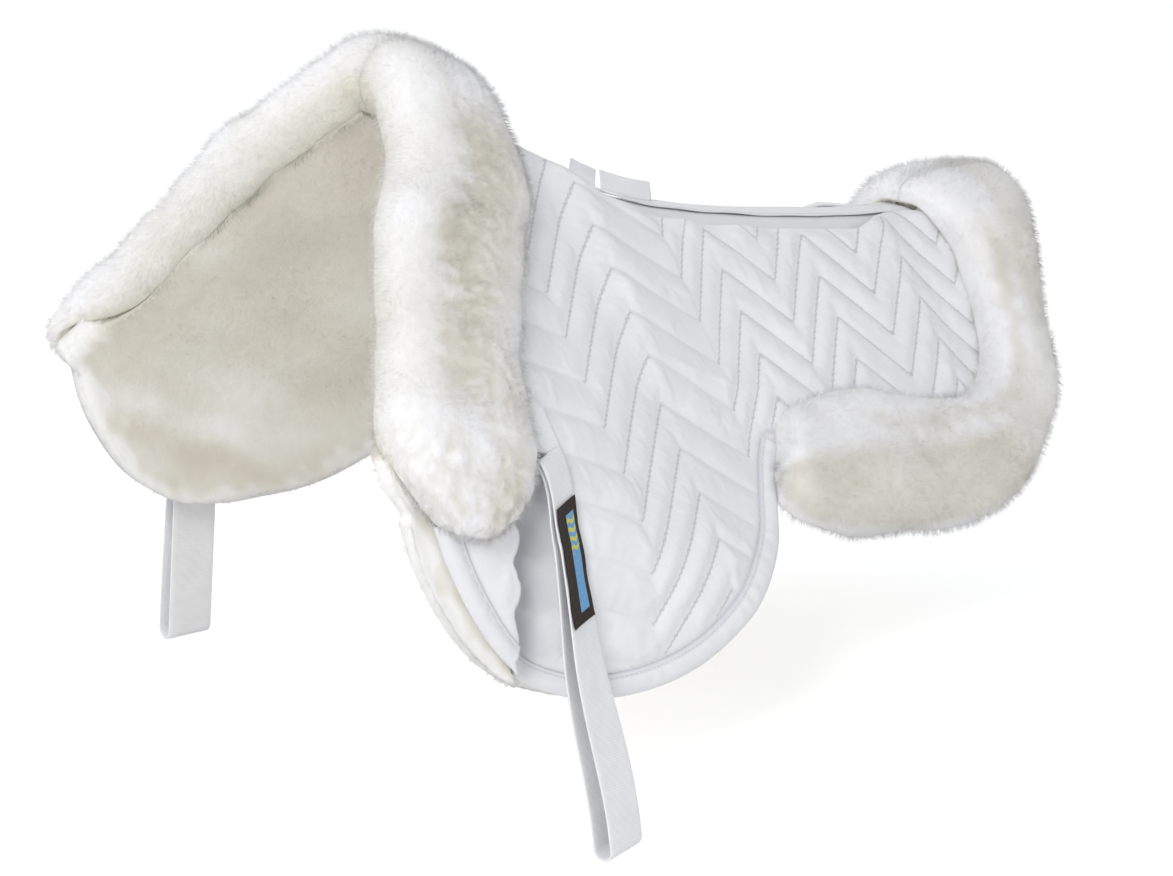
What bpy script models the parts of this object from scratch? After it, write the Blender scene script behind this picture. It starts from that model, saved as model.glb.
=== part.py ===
# Shimmable half pad for under a saddle, in metres, +Z up.
# -X is the pommel end, +X the cantle end, -Y the horse's left side.
# The origin is on the centre line of the spine at the height of the pocket floor.
#
# Each side of the pad is laid out flat first and then bent over the horse's back.
# A flat point is (along, down, lift): along the back, down the side from the spine,
# and out from the pocket floor, all in metres.

import math

import bmesh
import bpy
import numpy as np
from mathutils.geometry import delaunay_2d_cdt

for item in list(bpy.data.objects):
    bpy.data.objects.remove(item, do_unlink=True)

sides = {"left": -1.0, "right": 1.0}

# Line of the spine seen from the side: (along, height)
spine_points = [
    (-0.420, 0.172),
    (-0.340, 0.151),
    (-0.261, 0.117),
    (-0.165, 0.068),
    (-0.071, 0.018),
    (0.000, 0.000),
    (0.092, -0.016),
    (0.179, -0.026),
    (0.260, -0.030),
    (0.360, -0.027),
]

# Cross-section of the back: a narrow flat crest, a straight side and an upright flap
crest_half = 0.004
crest_bend = 0.026
side_slope = math.radians(50)
shoulder_start = 0.285
shoulder_bend = 0.085
flap_slope = math.radians(88)
down_reach = 0.540

# Upright furrow that the left girth strap pulls into its flap
furrow_depth = {"left": 0.011, "right": 0.0}
furrow_along = -0.318
furrow_width = 0.034
furrow_start = 0.300
furrow_ramp = 0.090

# Thicknesses and clearances of the layers
cloth = 0.0012
pile = 0.022
layer_gap = 0.0004
strip_thick = 0.0008
shim_thick = 0.006
shim_gap = 0.0003
quilt_stitched = 0.0035
quilt_puff = 0.0042
hem = 0.012
seam_gap = 0.0007

# Pockets: where they run along the spine, and how far down the side
pocket_front = -0.131
shim_length = 0.080
divider_gap = 0.006
shims_per_side = 3
mouth_down = 0.031
strip_width = 0.018
shim_top = 0.050
shim_drop = 0.110
shim_corner = 0.014
pocket_bottom_gap = 0.004
ramp_length = 0.038

# Quilting: rows of zigzags, their corners in columns
row_pitch = 0.0335
zigzag_drop = 0.059
column_start = 0.015
column_step = 0.044
wide_column_step = 0.068
wide_columns_from = -2
row_climb = -0.40
row_curve = 1.08
row_start = 0.0565

# Fleece rolls
roll_rise = 0.0205
roll_sides = 16

# Edge binding of the flap
tape_thick = 0.001
tape_leg = 0.010
tape_gap = 0.0009

# Spine band with its two sewn-in labels
band_half = 0.012
band_gap = 0.0009
lining_start = 0.006
size_tab_start = -0.116
size_tab_length = 0.024
size_tab_height = 0.015
care_label_start = -0.088
care_label_length = 0.044
care_label_height = 0.014
label_thick = 0.0005

# Girth straps
strap_width = 0.036
webbing = 0.0016
strap_along = -0.286
strap_tail_top = 0.258
strap_tail_drop = 0.036
strap_length = 0.266
strap_open = 0.014
strap_turn = {"left": math.radians(16), "right": 0.0}
strap_leave = 0.72
strap_settle = 0.012
strap_lean = {"left": 0.015, "right": -0.012}
strap_gap = 0.0008
strap_fold = 0.0016
strap_tuck = 0.0022
woven_label_top = 0.034
woven_label_length = 0.086
woven_label_width = 0.033

# Outer and inner edges of the front roll, from the spine down to its end
front_roll_outer = [
    (-0.296, 0.011),
    (-0.303, 0.060),
    (-0.331, 0.118),
    (-0.351, 0.168),
    (-0.373, 0.220),
    (-0.388, 0.256),
    (-0.399, 0.290),
    (-0.402, 0.323),
    (-0.388, 0.348),
]
front_roll_inner = [
    (-0.195, 0.011),
    (-0.205, 0.070),
    (-0.235, 0.130),
    (-0.270, 0.190),
    (-0.303, 0.245),
    (-0.309, 0.280),
    (-0.313, 0.308),
    (-0.323, 0.334),
    (-0.342, 0.356),
]

# Outer and inner edges of the rear roll, from the spine round to the flap
rear_roll_outer = [
    (0.289, 0.011),
    (0.279, 0.045),
    (0.263, 0.095),
    (0.244, 0.152),
    (0.218, 0.200),
    (0.180, 0.240),
    (0.136, 0.263),
    (0.074, 0.276),
    (0.000, 0.277),
    (-0.034, 0.275),
    (-0.062, 0.268),
]
rear_roll_inner = [
    (0.207, 0.011),
    (0.204, 0.045),
    (0.202, 0.080),
    (0.192, 0.122),
    (0.171, 0.156),
    (0.135, 0.175),
    (0.085, 0.175),
    (0.040, 0.173),
    (0.000, 0.177),
    (-0.027, 0.190),
    (-0.040, 0.208),
]

# Free edge of the flap, from the end of the front roll to the rear roll
flap_edge = [
    (-0.386, 0.362),
    (-0.380, 0.388),
    (-0.363, 0.416),
    (-0.340, 0.438),
    (-0.310, 0.449),
    (-0.273, 0.446),
    (-0.238, 0.436),
    (-0.204, 0.419),
    (-0.166, 0.391),
    (-0.129, 0.350),
    (-0.102, 0.313),
    (-0.080, 0.279),
    (-0.060, 0.242),
    (-0.046, 0.214),
]

# Levels that follow from the thicknesses, measured out from the pocket floor
fleece_top = -cloth - layer_gap
fleece_bottom = fleece_top - pile
loop_strip_low = layer_gap
loop_strip_high = loop_strip_low + strip_thick
shim_low = loop_strip_high + shim_gap
shim_high = shim_low + shim_thick
hook_strip_low = shim_high + shim_gap
hook_strip_high = hook_strip_low + strip_thick
cover_lift = hook_strip_high
shim_bottom = shim_top + shim_drop
pocket_bottom = shim_bottom + pocket_bottom_gap
ramp_end = pocket_bottom + ramp_length
roll_top = cover_lift + quilt_stitched + quilt_puff + roll_rise
pocket_rear = pocket_front + shims_per_side * shim_length + (shims_per_side + 1) * divider_gap


def hermite(points):
    """A smooth curve through points, as a function of a running value from 0 to 1."""
    points = np.array(points, float)
    steps = np.linalg.norm(np.diff(points, axis=0), axis=1)
    knots = np.concatenate([[0.0], np.cumsum(steps)]) / steps.sum()
    slopes = np.gradient(points, knots, axis=0)

    def curve(value):
        value = np.atleast_1d(np.asarray(value, float))
        index = np.clip(np.searchsorted(knots, value, side="right") - 1, 0, len(knots) - 2)
        width = (knots[index + 1] - knots[index])[:, None]
        part = (value - knots[index])[:, None] / width
        low, high = points[index], points[index + 1]
        blend = part * part * (3 - 2 * part)
        leave = part * (1 - part) ** 2 * width * slopes[index]
        arrive = part * part * (part - 1) * width * slopes[index + 1]
        return low + blend * (high - low) + leave + arrive

    return curve


def step_up(value):
    """A smooth step from 0 to 1 as value goes from 0 to 1."""
    value = np.clip(value, 0.0, 1.0)
    return value * value * (3 - 2 * value)


# The spine's height, read off its smooth line at any place along it
spine_line = hermite(spine_points)(np.linspace(0, 1, 400))


def spine_height(along):
    return np.interp(along, spine_line[:, 0], spine_line[:, 1])


# The cross-section, added up from its slope in small steps down the side
fine_down = np.linspace(0, down_reach, 2161)
fine_slope = side_slope * step_up((fine_down - crest_half) / crest_bend)
fine_slope = fine_slope + (flap_slope - side_slope) * step_up((fine_down - shoulder_start) / shoulder_bend)
fine_step = np.diff(fine_down)
fine_middle = 0.5 * (fine_slope[1:] + fine_slope[:-1])
fine_out = np.concatenate([[0.0], np.cumsum(np.cos(fine_middle) * fine_step)])
fine_fall = np.concatenate([[0.0], np.cumsum(np.sin(fine_middle) * fine_step)])


def skin(along, down, side):
    """Point of the pocket floor, with +Y as the outward direction on both sides."""
    smooth = 0.012
    rise = (spine_height(along + smooth) + spine_height(along) + spine_height(along - smooth)) / 3
    point = np.stack(
        [
            along,
            np.interp(down, fine_down, fine_out),
            rise - np.interp(down, fine_down, fine_fall),
        ],
        axis=-1,
    )
    slope = np.interp(down, fine_down, fine_slope)
    inward = -np.stack([0 * slope, np.sin(slope), np.cos(slope)], axis=-1)
    furrow = furrow_depth[side] * np.exp(-(((along - furrow_along) / furrow_width) ** 2))
    furrow = furrow * step_up((down - furrow_start) / furrow_ramp)
    return point + inward * furrow[..., None]


# Lines where every layer may bend, so that neighbouring layers bend alike
coarse_lines = np.arange(-0.450, -0.400, 0.020)
furrow_lines = np.arange(-0.400, -0.255, 0.012)
back_lines = np.arange(-0.240, 0.330, 0.033)
bend_along = np.concatenate([coarse_lines, furrow_lines, back_lines])
crest_lines = crest_half + crest_bend * np.linspace(0, 1, 6)
side_lines = [pocket_bottom, ramp_end]
shoulder_lines = shoulder_start + shoulder_bend * np.linspace(0, 1, 8)
flap_lines = [0.395, 0.425, 0.460, down_reach]
bend_down = np.concatenate([[0.0], crest_lines, side_lines, shoulder_lines, flap_lines])
bend_down = np.unique(np.round(bend_down, 6))


def bent_grid(side):
    """Pocket floor and its outward direction at every crossing of the bend lines."""
    along, down = np.meshgrid(bend_along, bend_down, indexing="ij")
    step = 0.0005
    ahead = skin(along + step, down, side) - skin(along - step, down, side)
    upper = np.maximum(down - step, 0.0)
    below = skin(along, down + step, side) - skin(along, upper, side)
    outward = np.cross(below, ahead)
    outward = outward / np.linalg.norm(outward, axis=-1, keepdims=True)
    outward = outward * np.sign(outward[..., 2:3] + outward[..., 1:2])
    return skin(along, down, side), outward


grids = {side: bent_grid(side) for side in sides}


def bend(points, side):
    """Flat points (along, down, lift) as places in space on one side of the pad."""
    points = np.asarray(points, float)
    base, outward = grids[side]
    i = np.clip(np.searchsorted(bend_along, points[:, 0]) - 1, 0, len(bend_along) - 2)
    j = np.clip(np.searchsorted(bend_down, points[:, 1]) - 1, 0, len(bend_down) - 2)
    s = ((points[:, 0] - bend_along[i]) / (bend_along[i + 1] - bend_along[i]))[:, None]
    t = ((points[:, 1] - bend_down[j]) / (bend_down[j + 1] - bend_down[j]))[:, None]

    def mix(grid):
        low = grid[i, j] * (1 - s) + grid[i + 1, j] * s
        high = grid[i, j + 1] * (1 - s) + grid[i + 1, j + 1] * s
        return low * (1 - t) + high * t

    placed = mix(base) + mix(outward) * points[:, 2:3]
    placed[:, 1] *= sides[side]
    return placed


def material(name, colour, roughness):
    made = bpy.data.materials.new(name)
    made.use_nodes = True
    shader = made.node_tree.nodes["Principled BSDF"]
    shader.inputs["Base Color"].default_value = (*colour, 1.0)
    shader.inputs["Roughness"].default_value = roughness
    shader.inputs["Metallic"].default_value = 0.0
    return made


def new_object(name, points, faces, colour, roughness, origin=(0.0, 0.0, 0.0)):
    """A closed mesh with its own material, its origin at the given place."""
    mesh = bpy.data.meshes.new(name)
    mesh.from_pydata([tuple(p) for p in np.asarray(points) - np.array(origin)], [], faces)
    work = bmesh.new()
    work.from_mesh(mesh)
    bmesh.ops.triangulate(work, faces=work.faces)
    bmesh.ops.recalc_face_normals(work, faces=work.faces)
    if work.calc_volume(signed=True) < 0:
        bmesh.ops.reverse_faces(work, faces=work.faces)
    work.to_mesh(mesh)
    work.free()
    mesh.materials.append(material(name, colour, roughness))
    made = bpy.data.objects.new(name, mesh)
    made.location = origin
    bpy.context.scene.collection.objects.link(made)
    return made


def offset_outline(outline, distance):
    """A closed outline moved inward by distance (outlines run the same way round)."""
    ahead = np.roll(outline, -1, axis=0) - outline
    behind = outline - np.roll(outline, 1, axis=0)
    ahead = ahead / np.linalg.norm(ahead, axis=1, keepdims=True)
    behind = behind / np.linalg.norm(behind, axis=1, keepdims=True)
    along = ahead + behind
    along = along / np.linalg.norm(along, axis=1, keepdims=True)
    x, y = outline.T
    area = 0.5 * np.sum(x * np.roll(y, -1) - y * np.roll(x, -1))
    inward = np.stack([-along[:, 1], along[:, 0]], axis=1) * np.sign(area)
    return outline + inward * distance


def distance_to(outline, points):
    """Shortest distance from each point to a closed outline."""
    start = outline[None]
    leg = np.roll(outline, -1, axis=0)[None] - start
    away = points[:, None] - start
    part = np.clip((away * leg).sum(-1) / (leg * leg).sum(-1), 0, 1)
    return np.linalg.norm(away - part[..., None] * leg, axis=-1).min(axis=1)


def lies_inside(outline, points):
    """Whether each point lies inside a closed outline: it has an odd number of edges above it."""
    start, end = outline[None], np.roll(outline, -1, axis=0)[None]
    x, y = points[:, None, 0], points[:, None, 1]
    spans = (start[..., 0] > x) != (end[..., 0] > x)
    run = np.where(spans, end[..., 0] - start[..., 0], 1.0)
    height = start[..., 1] + (x - start[..., 0]) / run * (end[..., 1] - start[..., 1])
    return (spans & (height > y)).sum(axis=1) % 2 == 1


def cut_flat(outline, lines):
    """Triangles filling an outline, with the given lines as edges."""
    points = [tuple(p) for p in outline]
    count = len(points)
    edges = [(k, (k + 1) % count) for k in range(count)]
    for line in lines:
        first = len(points)
        points += [tuple(p) for p in line]
        edges += [(first + k, first + k + 1) for k in range(len(line) - 1)]
    found = delaunay_2d_cdt(points, edges, [], 0, 1e-6)
    places = np.array([tuple(p) for p in found[0]])
    faces = np.array([list(face) for face in found[2]])
    faces = faces[lies_inside(outline, places[faces].mean(axis=1))]
    used, faces = np.unique(faces, return_inverse=True)
    return places[used], faces.reshape(-1, 3).tolist()


def bend_line_set(outline, use_along=True):
    """The bend lines that cross an outline."""
    low, high = outline.min(axis=0) - 0.001, outline.max(axis=0) + 0.001
    lines = [[(low[0], v), (high[0], v)] for v in bend_down if low[1] < v < high[1]]
    if use_along:
        lines += [[(u, low[1]), (u, high[1])] for u in bend_along if low[0] < u < high[0]]
    return lines


def rim_chain(points, start, end):
    """Indices of the points that lie on the straight edge from start to end, in order."""
    leg = end - start
    length = np.linalg.norm(leg)
    away = points - start
    part = away @ leg / length
    off = np.abs(away[:, 0] * leg[1] - away[:, 1] * leg[0]) / length
    on = np.where((off < 2e-6) & (part > -2e-6) & (part < length + 2e-6))[0]
    return list(on[np.argsort(part[on])])


def layer(name, side, outline, low, high, colour, roughness, high_lines=None):
    """A sheet cut to an outline. low and high give its two faces' lift at flat points."""
    low_points, low_faces = cut_flat(outline, bend_line_set(outline))
    lines = bend_line_set(outline) if high_lines is None else high_lines
    high_points, high_faces = cut_flat(outline, lines)
    low_count = len(low_points)
    faces = [face[::-1] for face in low_faces]
    faces += [[index + low_count for index in face] for face in high_faces]
    for k in range(len(outline)):
        start, end = outline[k], outline[(k + 1) % len(outline)]
        below = rim_chain(low_points, start, end)
        above = rim_chain(high_points, start, end)
        faces.append(below + [index + low_count for index in above[::-1]])
    low_flat = np.column_stack([low_points, low(low_points)])
    high_flat = np.column_stack([high_points, high(high_points)])
    placed = bend(np.concatenate([low_flat, high_flat]), side)
    return new_object(name, placed, faces, colour, roughness)


def at_level(level):
    return lambda points: np.full(len(points), level)


def sampled(points, spacing):
    """Evenly spread points on the smooth curve through the given ones."""
    curve = hermite(points)
    fine = curve(np.linspace(0, 1, 400))
    length = np.linalg.norm(np.diff(fine, axis=0), axis=1).sum()
    return curve(np.linspace(0, 1, max(3, int(round(length / spacing)) + 1)))


def toward(points, others, distance):
    """Points moved towards the matching others by distance."""
    points, others = np.array(points, float), np.array(others, float)
    step = others - points
    return points + step / np.linalg.norm(step, axis=1, keepdims=True) * distance


def panel_outline(top, spacing=0.022, tucked=0.0):
    """Outline of the layers between the rolls, starting at the given distance down.
    tucked draws the flap's free edge in, to make room for the binding's inner leg."""
    inner = toward(front_roll_inner, front_roll_outer, -seam_gap)
    front = sampled(inner, spacing)
    rear = sampled(toward(rear_roll_inner, rear_roll_outer, -seam_gap), spacing)[::-1]
    front = front[front[:, 1] > top + 0.006]
    rear = rear[rear[:, 1] > top + 0.006]
    flap = sampled(flap_edge, spacing)
    bound = binding_part(flap)
    outline = np.concatenate([front, flap, rear])
    tuck = np.concatenate([np.zeros(len(front)), bound * tucked, np.zeros(len(rear))])
    outline = offset_outline(outline, tuck[:, None])
    first = [[np.interp(top, inner[:, 1], inner[:, 0]), top]]
    last = [[np.interp(top, [0.011, 0.045], [rear_roll_inner[0][0], rear_roll_inner[1][0]]) - seam_gap, top]]
    return np.concatenate([first, outline, last])


def with_bends(path):
    """A path with extra points wherever it crosses a bend line."""
    points = [path[0]]
    for start, end in zip(path[:-1], path[1:]):
        shares = []
        for axis, lines in enumerate((bend_along, bend_down)):
            leg = end[axis] - start[axis]
            if abs(leg) > 1e-9:
                shares += [share for share in (lines - start[axis]) / leg if 0.02 < share < 0.98]
        points += [start + share * (end - start) for share in sorted(shares)]
        points.append(end)
    return np.array(points)


def binding_part(path):
    """Which points of the flap's free edge carry the binding."""
    bound = path[:, 1] > ramp_end + 0.004
    bound[0] = False
    return bound


def quilt_columns():
    """Places along the back where the zigzags turn, spread wider towards the front."""
    steps = np.arange(-8, 8)
    wide = np.minimum(steps - wide_columns_from, 0)
    return column_start + column_step * steps + (wide_column_step - column_step) * wide


def row_offset(along):
    """How far down a quilting row lies at each place along the back."""
    columns = quilt_columns()
    turns = np.where(np.arange(len(columns)) % 2 == 0, 1.0, 0.0)
    zigzag = np.interp(along, columns, turns) * zigzag_drop
    return row_start + row_climb * along + row_curve * along * along + zigzag


def quilt_lines():
    """The stitched lines, and lines up both flanks of every padded row."""
    columns = quilt_columns()
    lines = []
    for row in range(-14, 16):
        for share in (0.0, 0.22, 0.78):
            down = row_offset(columns) + (row + share) * row_pitch
            lines.append(list(zip(columns, down)))
    return lines


def quilt_height(outline):
    """Height of the quilting over its underside: flat in the hem, padded between rows."""

    def height(points):
        phase = ((points[:, 1] - row_offset(points[:, 0])) / row_pitch) % 1.0
        phase = np.where(phase > 0.999, 0.0, phase)
        swell = np.interp(phase, [0.0, 0.22, 0.78, 1.0], [0.0, 1.0, 1.0, 0.0])
        inside = np.clip((distance_to(outline, points) - hem) / hem, 0.0, 1.0)
        return quilt_stitched + quilt_puff * swell * inside

    return height


def lift_over_pocket(points):
    """The cover stands off the pocket floor over the shims and comes down below them."""
    return cover_lift * np.interp(points[:, 1], [pocket_bottom, ramp_end], [1.0, 0.0])


def build_cover(side):
    outline = panel_outline(mouth_down)
    inset = offset_outline(outline, hem)
    height = quilt_height(outline)
    lines = quilt_lines() + [list(inset) + [inset[0]]]
    lines += [line for line in bend_line_set(outline, use_along=False)]
    return layer(
        side + "_quilted_cover",
        side,
        outline,
        lambda p: layer_gap + lift_over_pocket(p),
        lambda p: layer_gap + lift_over_pocket(p) + height(p),
        (0.80, 0.80, 0.83),
        0.85,
        high_lines=lines,
    )


def build_linings(side):
    outline = panel_outline(lining_start)
    layer(side + "_pocket_lining", side, outline, at_level(-cloth), at_level(0.0), (0.82, 0.82, 0.82), 0.9)
    outline = panel_outline(mouth_down, tucked=tape_leg + 0.003)
    layer(
        side + "_fleece_lining",
        side,
        outline,
        at_level(fleece_bottom),
        at_level(fleece_top),
        (0.72, 0.70, 0.63),
        1.0,
    )


def rounded_box(low, high, corner, steps=3):
    """Outline of a box with round corners, in flat places."""
    points = []
    centres = [
        (high[0] - corner, high[1] - corner),
        (low[0] + corner, high[1] - corner),
        (low[0] + corner, low[1] + corner),
        (high[0] - corner, low[1] + corner),
    ]
    for quarter, centre in enumerate(centres):
        for k in range(steps + 1):
            angle = math.pi / 2 * (quarter + k / steps)
            points.append((centre[0] + corner * math.cos(angle), centre[1] + corner * math.sin(angle)))
    return np.array(points)


def box_outline(low, high):
    return np.array([(low[0], low[1]), (high[0], low[1]), (high[0], high[1]), (low[0], high[1])])


def shim_start(index):
    return pocket_front + divider_gap + index * (shim_length + divider_gap)


def build_pockets(side):
    names = ["front", "middle", "rear"]
    for index in range(shims_per_side):
        start = shim_start(index)
        outline = rounded_box((start, shim_top), (start + shim_length, shim_bottom), shim_corner)
        layer(
            side + "_" + names[index] + "_shim",
            side,
            outline,
            at_level(shim_low),
            at_level(shim_high),
            (0.35, 0.37, 0.40),
            0.8,
        )
    for index in range(shims_per_side + 1):
        middle = shim_start(index) - divider_gap / 2
        outline = box_outline(
            (middle - cloth / 2, mouth_down + strip_width + 0.002),
            (middle + cloth / 2, pocket_bottom - 0.001),
        )
        layer(
            side + "_pocket_divider_" + str(index + 1),
            side,
            outline,
            at_level(layer_gap),
            at_level(cover_lift),
            (0.82, 0.82, 0.82),
            0.9,
        )
    low = (pocket_front, mouth_down + 0.001)
    high = (pocket_rear, mouth_down + 0.001 + strip_width)
    outline = box_outline(low, high)
    levels = {"loop": (loop_strip_low, loop_strip_high), "hook": (hook_strip_low, hook_strip_high)}
    for kind, (bottom, top) in levels.items():
        layer(
            side + "_" + kind + "_strip",
            side,
            outline,
            at_level(bottom),
            at_level(top),
            (0.78, 0.78, 0.78),
            0.95,
        )


def build_roll(name, side, outer, inner, stations, fade):
    """A fleece roll: an oval section, broad and full, carried from the spine to its end."""
    values = np.linspace(0, 1, stations)
    outside, inside = hermite(outer)(values), hermite(inner)(values)
    angles = np.linspace(0, 2 * math.pi, roll_sides, endpoint=False)
    across = np.sign(np.cos(angles)) * np.abs(np.cos(angles)) ** 0.62
    across = 0.5 + 0.5 * across
    upright = np.sign(np.sin(angles)) * np.abs(np.sin(angles)) ** 0.75
    middle = (roll_top + fleece_bottom) / 2
    half = (roll_top - fleece_bottom) / 2
    flat = []
    for k, value in enumerate(values):
        full = 1.0 - fade * step_up((value - 0.86) / 0.14)
        for a, b in zip(across, upright):
            place = inside[k] + a * (outside[k] - inside[k])
            flat.append((place[0], place[1], middle + half * full * b))
    faces = []
    for k in range(stations - 1):
        for m in range(roll_sides):
            n = (m + 1) % roll_sides
            faces.append([k * roll_sides + m, k * roll_sides + n, (k + 1) * roll_sides + n, (k + 1) * roll_sides + m])
    faces.append(list(range(roll_sides))[::-1])
    faces.append([(stations - 1) * roll_sides + m for m in range(roll_sides)])
    return new_object(name, bend(flat, side), faces, (0.86, 0.85, 0.81), 1.0)


def sweep_flat(name, side, path, section, colour, roughness):
    """A section of (outward, lift) points carried along a flat path."""
    ahead = np.gradient(path, axis=0)
    ahead = ahead / np.linalg.norm(ahead, axis=1, keepdims=True)
    outward = np.stack([-ahead[:, 1], ahead[:, 0]], axis=1)
    flat = []
    for place, out in zip(path, outward):
        for across, lift in section:
            flat.append((*(place + out * across), lift))
    count = len(section)
    faces = []
    for k in range(len(path) - 1):
        for m in range(count):
            n = (m + 1) % count
            faces.append([k * count + m, k * count + n, (k + 1) * count + n, (k + 1) * count + m])
    faces.append(list(range(count))[::-1])
    faces.append([(len(path) - 1) * count + m for m in range(count)])
    return new_object(name, bend(flat, side), faces, colour, roughness)


def build_binding(side):
    """Folded tape round the flap's free edge, clear of the cover and its lining."""
    path = sampled(flap_edge, 0.022)
    path = with_bends(path[binding_part(path)])
    top = layer_gap + quilt_stitched + tape_gap
    bottom = -cloth - tape_gap
    wall = tape_gap + 0.0004
    section = [
        (-tape_leg, top + tape_thick),
        (wall + tape_thick, top + tape_thick),
        (wall + tape_thick, bottom - tape_thick),
        (-tape_leg, bottom - tape_thick),
        (-tape_leg, bottom),
        (wall, bottom),
        (wall, top),
        (-tape_leg, top),
    ]
    sweep_flat(side + "_flap_binding", side, path, section, (0.88, 0.88, 0.88), 0.7)


def build_band():
    """Flat band over the crest of the spine, and the two labels sewn up from it."""
    front = front_roll_inner[0][0] + seam_gap
    rear = rear_roll_inner[0][0] - seam_gap
    along = np.concatenate([[front], bend_along[(bend_along > front) & (bend_along < rear)], [rear]])
    section = [(-band_half, 0.0), (band_half, 0.0), (band_half, cloth), (-band_half, cloth)]
    crest = np.column_stack([along, np.zeros(len(along)), np.zeros(len(along))])
    centre = bend(crest, "right")
    points = []
    for place in centre:
        for across, lift in section:
            points.append((place[0], across, place[2] + band_gap + lift))
    faces = [[0, 1, 2, 3][::-1]]
    for k in range(len(along) - 1):
        for m in range(4):
            n = (m + 1) % 4
            faces.append([4 * k + m, 4 * k + n, 4 * k + 4 + n, 4 * k + 4 + m])
    faces.append([4 * (len(along) - 1) + m for m in range(4)])
    new_object("spine_band", points, faces, (0.86, 0.86, 0.88), 0.7)
    build_label("size_tab", size_tab_start, size_tab_length, size_tab_height)
    build_label("care_label", care_label_start, care_label_length, care_label_height)


def build_label(name, start, length, height):
    """A label standing on the band, its foot following the band's slope."""
    crest = bend([(start, 0.0, 0.0), (start + length, 0.0, 0.0)], "right")
    foot = band_gap + cloth + layer_gap + 0.0002
    points = []
    for place in crest:
        for across in (-label_thick / 2, label_thick / 2):
            for lift in (0.0, height):
                points.append((place[0], across, place[2] + foot + lift))
    faces = [[0, 1, 3, 2], [4, 6, 7, 5], [0, 4, 5, 1], [2, 3, 7, 6], [0, 2, 6, 4], [1, 5, 7, 3]]
    new_object(name, points, faces, (0.90, 0.90, 0.90), 0.6)


def strap_course(side):
    """Course of a strap's loop as (out, height): over the shoulder, then straight down.
    Both straps bridge the furrow, so both take the course of the side that has none."""
    turned_edge = max(0.0, 0.5 * strap_width * math.sin(strap_turn[side]) - strap_tuck)
    lift = layer_gap + quilt_stitched + quilt_puff + strap_gap + webbing + turned_edge + strap_fold
    top = strap_tail_top + strap_tail_drop + strap_fold + webbing
    leave = shoulder_start + strap_leave * shoulder_bend
    downs = [top] + [down for down in bend_down if top < down < leave] + [leave]
    course = bend([(strap_along, down, lift) for down in downs], "right")
    course = np.column_stack([np.abs(course[:, 1]), course[:, 2]])
    last = (course[-1] - course[-2]) / np.linalg.norm(course[-1] - course[-2])
    used = np.linalg.norm(np.diff(course, axis=0), axis=1).sum()
    clear = course[-1] + last * strap_settle
    end = course[-1] + last * (strap_length - used)
    start = bend([(strap_along, top, lift)], "right")[0] * [1.0, sides[side], 1.0]
    return start, np.concatenate([course, [clear, end]])


def strap_points(side):
    """The strap's start, its stations and a function placing (down it, out from it, across it)."""
    start, course = strap_course(side)
    turn = strap_turn[side] * sides[side]
    out_way = np.array([math.sin(-turn), math.cos(turn) * sides[side], 0.0])
    cross_way = np.cross(out_way, [0.0, 0.0, 1.0])
    steps = np.diff(course, axis=0)
    lengths = np.linalg.norm(steps, axis=1)
    gone = np.concatenate([[0.0], np.cumsum(lengths)])
    ways = steps / lengths[:, None]
    ways = np.concatenate([ways[:1], 0.5 * (ways[1:] + ways[:-1]), ways[-1:]])

    def spot(down, out, across):
        place = np.array([np.interp(down, gone, course[:, k]) for k in range(2)])
        way = np.array([np.interp(down, gone, ways[:, k]) for k in range(2)])
        way = way / np.linalg.norm(way)
        place = place + way * (down - np.clip(down, 0.0, gone[-1]))
        place = place + np.array([-way[1], way[0]]) * out
        reach = out_way * (place[0] - course[0][0])
        slant = np.array([strap_lean[side] * down, 0.0, place[1] - course[0][1]])
        return start + reach + slant + cross_way * across

    straight = [gone[-2], strap_length - strap_open / 2]
    return start, np.concatenate([gone[:-2], straight]), spot


def leg_spread(down):
    """How far the strap's outer leg stands from its inner leg at a distance down."""
    share = np.clip(down / (strap_length - strap_open / 2), 0.0, 1.0)
    return 2 * strap_fold + (strap_open - 2 * strap_fold) * share


def loop_section(stations, inward):
    """One face of the webbing loop as (down, out), moved in from its middle by inward."""
    points = []
    for angle in (150, 90, 30):
        turn = math.radians(angle)
        size = strap_fold - inward
        points.append((-size * math.sin(turn), size * math.cos(turn)))
    for down in stations:
        points.append((down, leg_spread(down) - strap_fold - inward))
    for k in range(1, 6):
        turn = math.pi * k / 6
        size = strap_open / 2 - inward
        middle = strap_open / 2 - strap_fold
        points.append((stations[-1] + size * math.sin(turn), middle + size * math.cos(turn)))
    for down in stations[::-1]:
        points.append((down, -strap_fold + inward))
    return points


def build_strap(side):
    start, stations, spot = strap_points(side)
    outer, inner = loop_section(stations, -webbing / 2), loop_section(stations, webbing / 2)
    count = len(outer)
    points = []
    for across in (-strap_width / 2, strap_width / 2):
        for ring in (outer, inner):
            points += [spot(down, out, across) for down, out in ring]
    faces = []
    for k in range(count):
        n = (k + 1) % count
        faces.append([k, n, n + 2 * count, k + 2 * count])
        faces.append([k + count, k + 3 * count, n + 3 * count, n + count])
        faces.append([k, k + count, n + count, n])
        faces.append([k + 2 * count, n + 2 * count, n + 3 * count, k + 3 * count])
    new_object(side + "_girth_strap", points, faces, (0.86, 0.86, 0.86), 0.7, origin=start)
    if side == "left":
        build_woven_label(spot, stations, start)
    build_strap_tail(side)


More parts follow.
